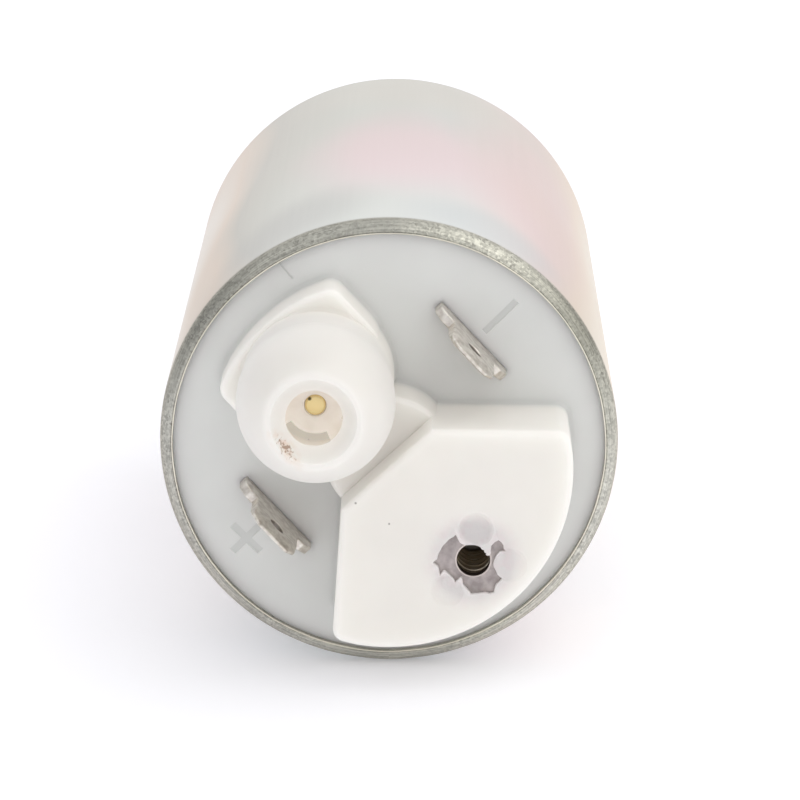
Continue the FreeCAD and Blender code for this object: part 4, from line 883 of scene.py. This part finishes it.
class PUMP_OT_cover(bpy.types.Operator):
    """Outlet cover with nozzle, foot, boss, relief valve block, slots and polarity signs"""
    bl_idname = "pump.cover"
    bl_label = "Outlet cover"

    def execute(self, context):
        size = sizes()
        root = size.face - 0.5
        cover = combined(self.plate(size), [
            self.nozzle(size, root), self.foot(size, root), self.boss(size, root),
            self.block(size, root), self.collar(size, root), self.sleeves(size)], "UNION")
        cover = combined(cover, [
            *self.bores(size), *self.slots(size.face), *self.pockets(size), *self.signs(size),
            *self.punch_marks(size)], "DIFFERENCE")
        bmesh.ops.dissolve_degenerate(cover, edges=cover.edges, dist=1e-3)
        place_piece("outlet_cover_moulding", cover, "grey_acetal", ["outlet_cover"])
        return {"FINISHED"}

    def plate(self, size):
        """The flanged plate, its skirt inside the can and the hub round the bearing."""
        face, seat = size.face, size.seat
        rim = CAN_RADIUS - COVER_GAP
        skirt = CAN_RADIUS - 1.05
        skirt_bore = skirt - 1.75
        skirt_end = seat - 5.1
        hub = 5.38
        hub_end = seat - 1.6
        return turned([
            (0, face), (rim, face, size.cover_edge), (rim, seat), (skirt, seat),
            (skirt, skirt_end), (skirt_bore, skirt_end), (skirt_bore, seat), (hub, seat),
            (hub, hub_end), (0, hub_end)])

    def flared(self, size, level):
        """The flare of the nozzle's wall where it meets a level."""
        flare = size.junction
        return arc((size.nozzle_radius + flare, level), (size.nozzle_radius, level + flare),
                   flare, -1, 5)

    def nozzle(self, size, root):
        """The nozzle's outside: plain body, hose ring and domed tip."""
        bead = size.face + size.bead_height
        tip = (size.bead_radius, bead - 0.6)
        outline = [(0, root), (size.nozzle_radius + size.junction, root)]
        outline += self.flared(size, size.face)
        outline += [(size.nozzle_radius, bead - 1.4), (size.bead_radius - 0.03, bead - 1.15), tip]
        outline += arc(tip, (4.0, NOZZLE_TOP - 0.12), 9.2, 1, 18)
        outline += [(3.85, NOZZLE_TOP - 0.02), (3.7, NOZZLE_TOP), (0, NOZZLE_TOP)]
        return turned(outline, (NOZZLE_OFFSET, 0))

    def collar(self, size, root):
        """The rounded corner between the nozzle and the top of its foot and the boss."""
        level = size.face + size.foot_height
        wide = size.nozzle_radius + size.junction
        ring = turned([(0, root), (wide, root), (wide, level - 0.05), *self.flared(size, level),
                       (0, level + size.junction)], (NOZZLE_OFFSET, 0))
        inside = prism(grown(self.foot_outline(), -0.55), root, level + 1)
        return combined(ring, [inside], "INTERSECT")

    def foot_outline(self):
        """The foot seen from the outlet: straight sides and an outer side on the face ring."""
        end = math.sqrt(FACE_RING ** 2 - FOOT_HALF ** 2)
        corner = 1.35
        waist = NOZZLE_OFFSET - 2.6
        outline = [(waist, -5.2), (NOZZLE_OFFSET, -FOOT_HALF, 3.0), (end, -FOOT_HALF, corner)]
        outline += arc((end, -FOOT_HALF), (end, FOOT_HALF), FACE_RING, 1, 14, 2.2)[:-1]
        outline += [(end, FOOT_HALF, corner), (NOZZLE_OFFSET, FOOT_HALF, 3.0), (waist, 5.2)]
        return rounded(outline, 7)

    def foot(self, size, root):
        """The flat foot that carries the nozzle out to the face ring."""
        return prism(self.foot_outline(), root, size.face + size.foot_height, 0.5,
                     (size.face, size.junction))

    def boss(self, size, root):
        """The boss over the upper bearing."""
        face, radius, top = size.face, size.boss_radius, size.face + size.boss_height
        return turned([
            (0, root), (radius + 1, root), (radius + 1, face), (radius, face, size.junction),
            (radius - 0.15, top, 0.5), (0, top)])

    def block(self, size, root):
        """The relief valve block: a wedge with its outer side on the face ring."""
        apex = 4.95
        front = 0.2
        slope = math.radians(46.5)
        reach = apex * math.cos(slope) + math.sqrt(FACE_RING ** 2 - (apex * math.sin(slope)) ** 2)
        corner = (apex - reach * math.cos(slope), reach * math.sin(slope))
        wide = (apex - front) * math.tan(slope)
        radius = 1.05
        outline = [(front, -wide), (front, wide), (*corner, radius)]
        outline += arc(corner, (corner[0], -corner[1]), FACE_RING, 1, 40, 2.0)[:-1]
        outline = rounded([*outline, (corner[0], -corner[1], radius)], 7)
        return prism(outline, root, size.face + size.block_height, 0.55,
                     (size.face, size.junction), 6)

    def bores(self, size):
        """Cutters for the nozzle's bore, the relief valve's bore and the bearing's pocket."""
        below = size.face - 12
        above = NOZZLE_TOP + 1
        throat = size.throat_radius
        guide, chamber, mouth = 3.92, 3.35, 3.7
        nozzle = turned([
            (0, below), (guide, below), (guide, GUIDE_TOP), (chamber, GUIDE_TOP),
            (chamber, NOZZLE_TOP - 2.7), (throat, NOZZLE_TOP - 1.4), (throat, NOZZLE_TOP - 1.2),
            (3.45, NOZZLE_TOP), (mouth, NOZZLE_TOP + 0.4), (mouth, above), (0, above)],
            (NOZZLE_OFFSET, 0))
        seat = size.face - 1.65
        inlet, ball, washer = 1.15, 2.1, WASHER_RADIUS + 0.02
        relief = turned([
            (0, below), (inlet, below), (inlet, seat), (ball, seat + 0.95), (ball, WASHER_LOW),
            (washer, WASHER_LOW), (washer, WASHER_TOP + 0.02), (0, WASHER_TOP + 0.02)],
            (-RELIEF_OFFSET, 0))
        torn = self.torn_opening(size.face + size.block_height)
        top = size.face + 1.35
        bush, shaft = 3.63, 2.4
        bearing = turned([
            (0, below), (bush, below), (bush, top), (shaft, top), (shaft, top + 1), (0, top + 1)])
        return [nozzle, relief, torn, bearing]

    def torn_opening(self, top):
        """Cutter for the ragged opening that the swaged plastic leaves over the washer."""
        outline = [round_about(angle, reach) for angle, reach in TORN_EDGE]
        lead_in = 0.16
        rings = [(outline, WASHER_TOP - 0.1), (outline, top - lead_in)]
        for step in range(1, 5):
            turn = math.radians(90) * step / 4
            rings.append((grown(outline, 0.12 * (1 - math.cos(turn))),
                          top - lead_in + lead_in * math.sin(turn)))
        rings.append((grown(outline, 0.14), top + 0.5))
        return moved(lofted(rings), (-RELIEF_OFFSET, 0, 0))

    def sleeves(self, size):
        """The square sleeves that guide the brushes, under the plate."""
        wide, high = [across + 2 * SLEEVE_WALL for across in BRUSH_POCKET]
        return joined([
            prism(self.square(wide, high, BRUSH_OFFSET * side, 0.5), size.seat - 6.7,
                  size.seat + 0.5)
            for side in (1, -1)])

    def square(self, wide, high, up, corner):
        """A rectangle with rounded corners, up from the axis."""
        return rounded([(x * wide / 2, up + y * high / 2, corner)
                        for x, y in ((-1, -1), (1, -1), (1, 1), (-1, 1))], 4)

    def pockets(self, size):
        """Cutters for the brushes, the slots for their leads and the seats of the choke cores."""
        seat, below, core = size.seat, size.seat - 8, 1.52
        cutters = []
        for side in (1, -1):
            brush = self.square(*BRUSH_POCKET, BRUSH_OFFSET * side, 0.1)
            cutters += [
                prism(brush, below, size.face - 1.25),
                slab((LEAD_SHIFT, 9.61 * side), (1.5, 1.8), below, seat),
                turned([(0, seat - 1), (core, seat - 1), (core, seat + 1), (0, seat + 1)],
                       (-5.4, CHOKE_OFFSET * side), SMALL_RING_STEPS)]
        return cutters

    def slots(self, face):
        """Cutters for the terminals' slots: wide for the shoulders, narrow for the leg."""
        cutters = []
        for side in (1, -1):
            centre = (BLADE_SHIFT, BLADE_OFFSET * side)
            cutters += [
                slab(centre, (7.88, BLADE_THICK - 0.02), face - SHOULDER_SINK, face + 1),
                slab(centre, (3.1, BLADE_THICK + 0.1), face - 6, face - 2)]
        return cutters

    def signs(self, size):
        """Cutters for the plus and minus signs and the mould's index line."""
        cutters = []
        for start, end, width in SIGNS:
            first, second = across_pump(*start), across_pump(*end)
            run = second - first
            stroke = slab((first + second) / 2, (run.length, width * size.mark_width),
                          size.face - size.mark_depth, size.face + 1, math.atan2(run.y, run.x))
            # The mould's strokes have sloping flanks.
            for vert in stroke.verts:
                if vert.co.z > size.face:
                    away = (vert.co - Vector((*(first + second) / 2, vert.co.z))).normalized()
                    vert.co += away * 0.9
            cutters.append(stroke)
        return cutters

    def punch_marks(self, size):
        """Cutters for the three round punch marks round the relief valve's washer."""
        top = size.face + size.block_height
        cutters = []
        for angle, reach, sink in STAKES:
            x, y = round_about(angle, reach)
            dent = [(0, top - sink), (STAKE_RADIUS - 0.45, top - sink)]
            dent += arc(dent[-1], (STAKE_RADIUS, top), 0.75, 1, 6)
            dent += [(STAKE_RADIUS + 0.1, top + 1), (0, top + 1)]
            cutters.append(turned(dent, (x - RELIEF_OFFSET, y), 64))
        return cutters


class PUMP_OT_inlet(bpy.types.Operator):
    """Die-cast inlet cover with its tube, boss, ribs, locating post and vent"""
    bl_idname = "pump.inlet"
    bl_label = "Inlet cover"

    def execute(self, context):
        # Drawn facing the outlet, like the other cover, and turned round at the end.
        size = sizes()
        face, split = size.face, size.seat
        floor = face - 0.6
        root = floor - 1
        rim = CAN_RADIUS - COVER_GAP
        top = face + INLET_BOSS
        dimple = face + 0.75
        tube = across_pump(*[mounts["inlet_tube"]["pos_m"][i] / MM for i in (0, 2)])
        tube = (tube.x, -tube.y)
        cover = turned([
            (0, split), (rim, split), (rim, face, 0.85), (15.9, face, 0.2), (15.4, floor, 0.3),
            (0, floor)])
        boss = turned([
            (0, root), (5.3, root), (5.3, floor), (4.85, floor, 0.4), (4.6, top, 0.45),
            (1.3, top, 0.15), (0.9, dimple, 0.15), (0, dimple)])
        ribs = joined([self.rib(math.radians(23.1 + 45 * turn), floor, root, face)
                       for turn in range(8)])
        for more in ([ribs], [boss, self.post(floor, root, face)], [self.tube(tube, floor, root)]):
            cover = combined(cover, more, "UNION")
        cover = combined(cover, self.holes(tube, floor, face, split), "DIFFERENCE")
        moved(cover, turn=math.pi, axis="X")
        place_piece("inlet_cover_casting", cover, "cast_aluminium", ["inlet_cover"])
        return {"FINISHED"}

    def tube(self, place, floor, root):
        """The inlet tube with a fillet at its foot and a ring that holds the strainer."""
        end, foot, ring, fillet = INLET_END, 6.3, 5.85, 0.75
        return turned([
            (0, root), (foot, root), (foot, floor - 0.05),
            *arc((foot, floor), (foot - fillet, floor + fillet), fillet, -1, 6),
            (5.5, end - 1.6), (ring, end - 1.25, 0.25), (ring, end - 0.55, 0.25),
            (5.3, end, 0.3), (0, end)], place)

    def post(self, floor, root, face):
        """The post that keeps the strainer from turning."""
        top = face + 3.0
        return turned([
            (0, root), (2.0, root), (2.0, floor), (1.6, floor, 0.35), (1.4, top, 0.45), (0, top)],
            Matrix.Rotation(math.radians(-45), 2) @ Vector((12.4, 0)), 64)

    def rib(self, turn, floor, root, face):
        """A rib from the boss to the rim, with its top flush with the rim."""
        turned_by = Matrix.Rotation(turn, 2)
        corners = ((4.0, -0.5), (16.2, -0.5), (16.2, 0.5), (4.0, 0.5))
        outline = [tuple(turned_by @ Vector(corner)) for corner in corners]
        return prism(outline, root, face - 0.02, 0.22, (floor, 0.28))

    def holes(self, tube, floor, face, split):
        """Cutters for the tube's bore, the port, the vent, the thrust pad's pocket, the side
        channel and the marks of the mould's ejector pins."""
        end, below = INLET_END, split - 1
        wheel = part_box("impeller")[1].x / MM - 0.55
        bore, mouth, port, vent, pad = 3.5, 3.85, 1.4, 0.6, 2.6
        cutters = [
            turned([(0, split + 1.2), (bore, split + 1.2), (bore, end - 0.35), (mouth, end),
                    (mouth, end + 1), (0, end + 1)], tube),
            turned([(0, below), (port, below), (port, split + 1.8), (0, split + 1.8)],
                   Vector(tube).normalized() * (wheel - 1.0), SMALL_RING_STEPS),
            turned([(0, below), (vent, below), (vent, floor - 0.15), (0.8, floor + 0.05),
                    (0.8, face + 1), (0, face + 1)], (wheel - 2.0, 0), SMALL_RING_STEPS),
            turned([(0, below), (pad, below), (pad, split + 1.5), (0, split + 1.5)]),
            self.channel(wheel, split)]
        for turn in (45, 90, 180, 270):
            place = Matrix.Rotation(math.radians(turn), 2) @ Vector((10.0, 0))
            cutters.append(turned([(0, floor - 0.1), (1.2, floor - 0.1), (1.25, floor + 0.2),
                                   (0, floor + 0.2)], place, SMALL_RING_STEPS))
        return cutters

    def channel(self, wheel, split):
        """Cutter for the side channel beside the impeller's vanes, over most of a turn."""
        bm = bmesh.new()
        section = ((wheel - 2.0, -0.5), (wheel, -0.5), (wheel, 0), (wheel - 0.4, 1.0),
                   (wheel - 1.6, 1.0), (wheel - 2.0, 0))
        verts = [bm.verts.new((radius, 0, split + level)) for radius, level in section]
        start = bmesh.ops.contextual_create(bm, geom=verts)["faces"]
        moved(bm, turn=math.radians(-150))
        bmesh.ops.spin(bm, geom=start, cent=(0, 0, 0), axis=(0, 0, 1),
                       angle=math.radians(300), steps=100)
        face_outwards(bm)
        return bm


class PUMP_OT_relief_washer(bpy.types.Operator):
    """Washer of the relief valve, with a burred hole"""
    bl_idname = "pump.relief_washer"
    bl_label = "Relief valve washer"

    def execute(self, context):
        hole, burr = WASHER_HOLE, 0.07
        washer = turned([
            (hole, WASHER_LOW), (WASHER_RADIUS, WASHER_LOW), (WASHER_RADIUS, WASHER_TOP, 0.1),
            (hole + 0.3, WASHER_TOP), (hole + 0.16, WASHER_TOP + burr, 0.05),
            (hole, WASHER_TOP + burr * 0.6, 0.05)], (-RELIEF_OFFSET, 0), 96)
        place_piece("relief_washer", washer, "punched_steel", ["relief_valve_washer"])
        return {"FINISHED"}


class PUMP_OT_springs(bpy.types.Operator):
    """Coil springs of the valves and the brushes"""
    bl_idname = "pump.springs"
    bl_label = "Springs"

    def execute(self, context):
        # Node, joint that pushes it, place of its axis, radius, wire and turns.
        springs = (
            ("relief_valve_spring", "relief_valve_lift", (-RELIEF_OFFSET, 0), 1.48, 0.36, 5.0),
            ("check_valve_spring", "check_valve_lift", (NOZZLE_OFFSET, 0), 1.85, 0.36, 3.0),
            ("brush_spring_positive", "brush_positive_retract", (0, BRUSH_OFFSET), 1.5, 0.34, 3.0),
            ("brush_spring_negative", "brush_negative_retract", (0, -BRUSH_OFFSET), 1.5, 0.34, 3.0),
        )
        for name, joint, centre, radius, wire, turns in springs:
            low, high = levels(name)
            wound = coil(centre, low, high, radius, wire, turns)
            piece = place_piece(f"wound_{name}", wound, "spring_steel", [name], weighted=False)
            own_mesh(piece)
        return {"FINISHED"}


class PUMP_OT_leads(bpy.types.Operator):
    """Stranded leads between chokes and brushes"""
    bl_idname = "pump.leads"
    bl_label = "Brush leads"

    def execute(self, context):
        slots = {part["node"]: part["material_slot"] for part in frame["record"]["subparts"]}
        for name, body, side in (("positive", "brush_plus", 1), ("negative", "brush_minus", -1)):
            lead = f"brush_lead_{name}"
            bm = bmesh.new()
            bm.from_mesh(frame["nodes"][lead].data)
            bmesh.ops.remove_doubles(bm, verts=bm.verts, dist=1e-6)
            bmesh.ops.transform(bm, matrix=LAID_DOWN.inverted(), verts=bm.verts)
            face_outwards(bm)
            level = sum(vert.co.z for vert in bm.verts) / len(bm.verts)
            choke, brush = (-3.05, CHOKE_OFFSET * side, level), (LEAD_SHIFT, 9.3 * side, level)
            place_piece(f"flexible_{lead}", bm, slots[lead], [lead], body, weighted=False,
                        ends=(choke, brush))
        return {"FINISHED"}


class PUMP_OT_terminals(bpy.types.Operator):
    """Blade terminals with coined edges, a tapered tip and a detent hole"""
    bl_idname = "pump.terminals"
    bl_label = "Terminals"

    def execute(self, context):
        size = sizes()
        leg_end, tip = levels("terminal_positive")
        thick = BLADE_THICK / 2
        rings = []
        # From the middle outwards, the tip is rounded, then tapers over 1.2 mm of its length.
        half = ((0.0, 0.0), (0.06, 0.015), (0.11, 0.06), (0.14, 0.13), (0.26, 0.75), (0.31, 0.98),
                (0.355, 1.14), (0.388, 1.25), (thick, 1.32))
        for level, drop in [(-level, drop) for level, drop in half[:0:-1]] + list(half):
            coined = max(abs(level) - thick + size.blade_edge, 0) / size.blade_edge
            inset = size.blade_edge * (1 - math.sqrt(1 - min(coined, 1) ** 2))
            rings.append((grown(self.outline(size.face, leg_end, tip - drop), -inset), level))
        hole, waist = 0.84, 0.7
        for name, side in (("positive", 1), ("negative", -1)):
            detent = turned([(0, -1), (hole, -1), (hole, -thick), (waist, 0.1 - thick),
                             (waist, thick - 0.1), (hole, thick), (hole, 1), (0, 1)],
                            (0, size.face + HOLE_LEVEL), 40)
            blade = combined(lofted(rings), [detent], "DIFFERENCE")
            moved(blade, (BLADE_SHIFT, BLADE_OFFSET * side, 0), math.radians(90), "X")
            place_piece(f"blade_{name}", blade, "tinned_brass", [f"terminal_{name}"])
        return {"FINISHED"}

    def outline(self, face, leg_end, end):
        """A blade seen from its flat side: leg, shoulders and a tip with a lead-in."""
        leg, shoulder, blade = 1.5, 3.95, 2.4
        low, high = face - SHOULDER_SINK, face + 2.25
        half = (
            (leg, leg_end, 0.2), (leg, low), (shoulder, low, 0.2), (shoulder, high - 0.8, 0.3),
            (shoulder - 0.8, high, 0.25), (blade, high, 0.15), (blade, end - 1.15, 0.4),
            (blade - 0.8, end, 0.35))
        return rounded(list(half) + [(-x, level, *edge) for x, level, *edge in reversed(half)], 4)


class PUMP_OT_valve_stem(bpy.types.Operator):
    """Brass stem of the outlet's check valve, with a turned end"""
    bl_idname = "pump.valve_stem"
    bl_label = "Valve stem"

    def execute(self, context):
        low, top = levels("check_valve_stem")
        seal = levels("check_valve_seal")[1]
        rod, collar, collar_top = 0.83, 2.7, seal + 1.1
        stem = turned([
            (0, low), (rod, low), (rod, seal), (collar, seal, 0.1), (collar, collar_top, 0.1),
            (rod, collar_top), (rod, top, 0.16), (0, top)], (NOZZLE_OFFSET, 0), 64)
        place_piece("valve_stem", stem, "brass", ["check_valve_stem"], body="check_valve")
        return {"FINISHED"}


class PUMP_OT_finishes(bpy.types.Operator):
    """Finish of every piece that keeps its own shape"""
    bl_idname = "pump.finishes"
    bl_label = "Inner finishes"

    def execute(self, context):
        for part in frame["record"]["subparts"]:
            for slot in frame["nodes"][part["node"]].material_slots:
                slot.material = finish_of(part["material_slot"])
        return {"FINISHED"}


class PUMP_OT_stage(bpy.types.Operator):
    """Seamless pale floor, soft studio light and the camera"""
    bl_idname = "pump.stage"
    bl_label = "Stage"

    def execute(self, context):
        # A wide sheet of paper under the pump.
        floor = self.sheet("floor", 4.0, self.paper(), (0, 0, FLOOR))
        # A grey card behind the camera, which the rim and the blades mirror. It gives a dark
        # reflection only: it isn't seen, and takes no light from the floor.
        flag = self.sheet("flag", 0.22, self.felt(), (0.02, -0.60, 0.22), math.radians(90))
        flag.visible_camera = False
        flag.visible_diffuse = False
        flag.visible_shadow = False
        self.sky(context.scene)
        # A softbox above on the right throws the soft shadow to the left, and a weaker one fills.
        self.softbox("key", (0.48, -0.12, 0.45), 0.9, 1.35, "#fffcf3")
        self.softbox("fill", (-0.35, -0.40, 0.42), 0.5, 0.1, "#fffefb")
        self.camera(context.scene)
        return {"FINISHED"}

    def sheet(self, name, half, material, place, turn=0.0):
        """A flat square from half its width, turned up about X and set in its place."""
        bm = bmesh.new()
        bmesh.ops.create_grid(bm, x_segments=1, y_segments=1, size=half)
        mesh = mesh_of(name, moved(bm, place, turn, "X"))
        mesh.materials.append(material)
        return linked(name, mesh)

    def paper(self):
        """Seamless paper: white and matt, with a faint tooth. It is lit from below as well, as
        on a light table, which keeps the shadows faint."""
        material, add, place, tint = new_material("seamless_paper")
        tooth = add("TexNoise", place, cells(1.5), 2)
        return finished(material, {
            "Base Color": tint.floor, "Roughness": 0.75, "Emission Color": "#fbfbff",
            "Emission Strength": 0.175, "Normal": add("Bump", 0.1, 0.05 * MM, None, tooth)})

    def felt(self):
        """Grey felt: matt, with soft clouds in it."""
        material, add, place, _ = new_material("grey_felt")
        _, grey = clouded(add, place, 2, 3, (0.4, "#6c6c6e"), (0.6, "#767678"))
        return finished(material, {"Base Color": grey, "Roughness": 0.95})

    def sky(self, scene):
        """White light from all round, as in a light tent, with greyer sides above the horizon
        that give the metal its darker bands."""
        world = bpy.data.worlds.new("light_tent")
        world.use_nodes = True
        add = partial(node, world.node_tree)
        way = add("SeparateXYZ", add("TexCoord", out="Object")).node.outputs
        grey = add("Math", way["X"], operation="ABSOLUTE")
        grey = add("MapRange", grey, 0.5, 0.8)
        for start, end in ((0.09, 0.2), (0.85, 0.45)):
            band = add("MapRange", way["Z"], start, end)
            grey = add("Math", grey, band, operation="MULTIPLY")
        back = world.node_tree.nodes["Background"]
        feed(back.inputs["Color"], "#fdfdff")
        feed(back.inputs["Strength"], add("MapRange", grey, 0.0, 1.0, 1.05, 0.4))
        scene.world = world
        scene.view_settings.view_transform = "Standard"

    def softbox(self, name, place, size, power, code):
        """A square soft light that faces the pump."""
        light = bpy.data.lights.new(name, "AREA")
        light.shape = "RECTANGLE"
        light.size = light.size_y = size
        light.energy = power
        light.color = linear(code)
        lamp = linked(name, light)
        lamp.location = place
        lamp.rotation_euler = (-Vector(place)).to_track_quat("-Z", "Y").to_euler()

    def camera(self, scene):
        """A long lens in front of the outlet, a little above it."""
        data = bpy.data.cameras.new("camera")
        data.sensor_width = 36.0
        data.lens = 180.4
        data.clip_start = 0.01
        scene.camera = linked("camera", data)
        scene.camera.location = Vector((3.58, -351.35, 89.45)) * MM
        scene.camera.rotation_euler = (math.radians(90 - 15.02), 0, math.radians(0.476))


class PUMP_PT_panel(bpy.types.Panel):
    bl_label = "Fuel pump"
    bl_idname = "PUMP_PT_panel"
    bl_space_type = "VIEW_3D"
    bl_region_type = "UI"
    bl_category = "Fuel pump"

    def draw(self, context):
        for group in (context.scene.pump_sizes, context.scene.pump_colours):
            box = self.layout.box()
            for name in type(group).__annotations__:
                box.prop(group, name)
        for operator in OPERATORS:
            self.layout.operator(operator.bl_idname)


OPERATORS = (
    PUMP_OT_finishes, PUMP_OT_can, PUMP_OT_cover, PUMP_OT_inlet, PUMP_OT_relief_washer,
    PUMP_OT_springs, PUMP_OT_leads, PUMP_OT_terminals, PUMP_OT_valve_stem, PUMP_OT_stage,
)
CLASSES = (PumpSizes, PumpColours, *OPERATORS, PUMP_PT_panel)


def register():
    for cls in CLASSES:
        bpy.utils.register_class(cls)
    bpy.types.Scene.pump_sizes = bpy.props.PointerProperty(type=PumpSizes)
    bpy.types.Scene.pump_colours = bpy.props.PointerProperty(type=PumpColours)


def unregister():
    del bpy.types.Scene.pump_colours
    del bpy.types.Scene.pump_sizes
    for cls in reversed(CLASSES):
        bpy.utils.unregister_class(cls)


def main():
    register()
    for operator in OPERATORS:
        group, name = operator.bl_idname.split(".")
        getattr(getattr(bpy.ops, group), name)()


if __name__ == "__main__":
    main()
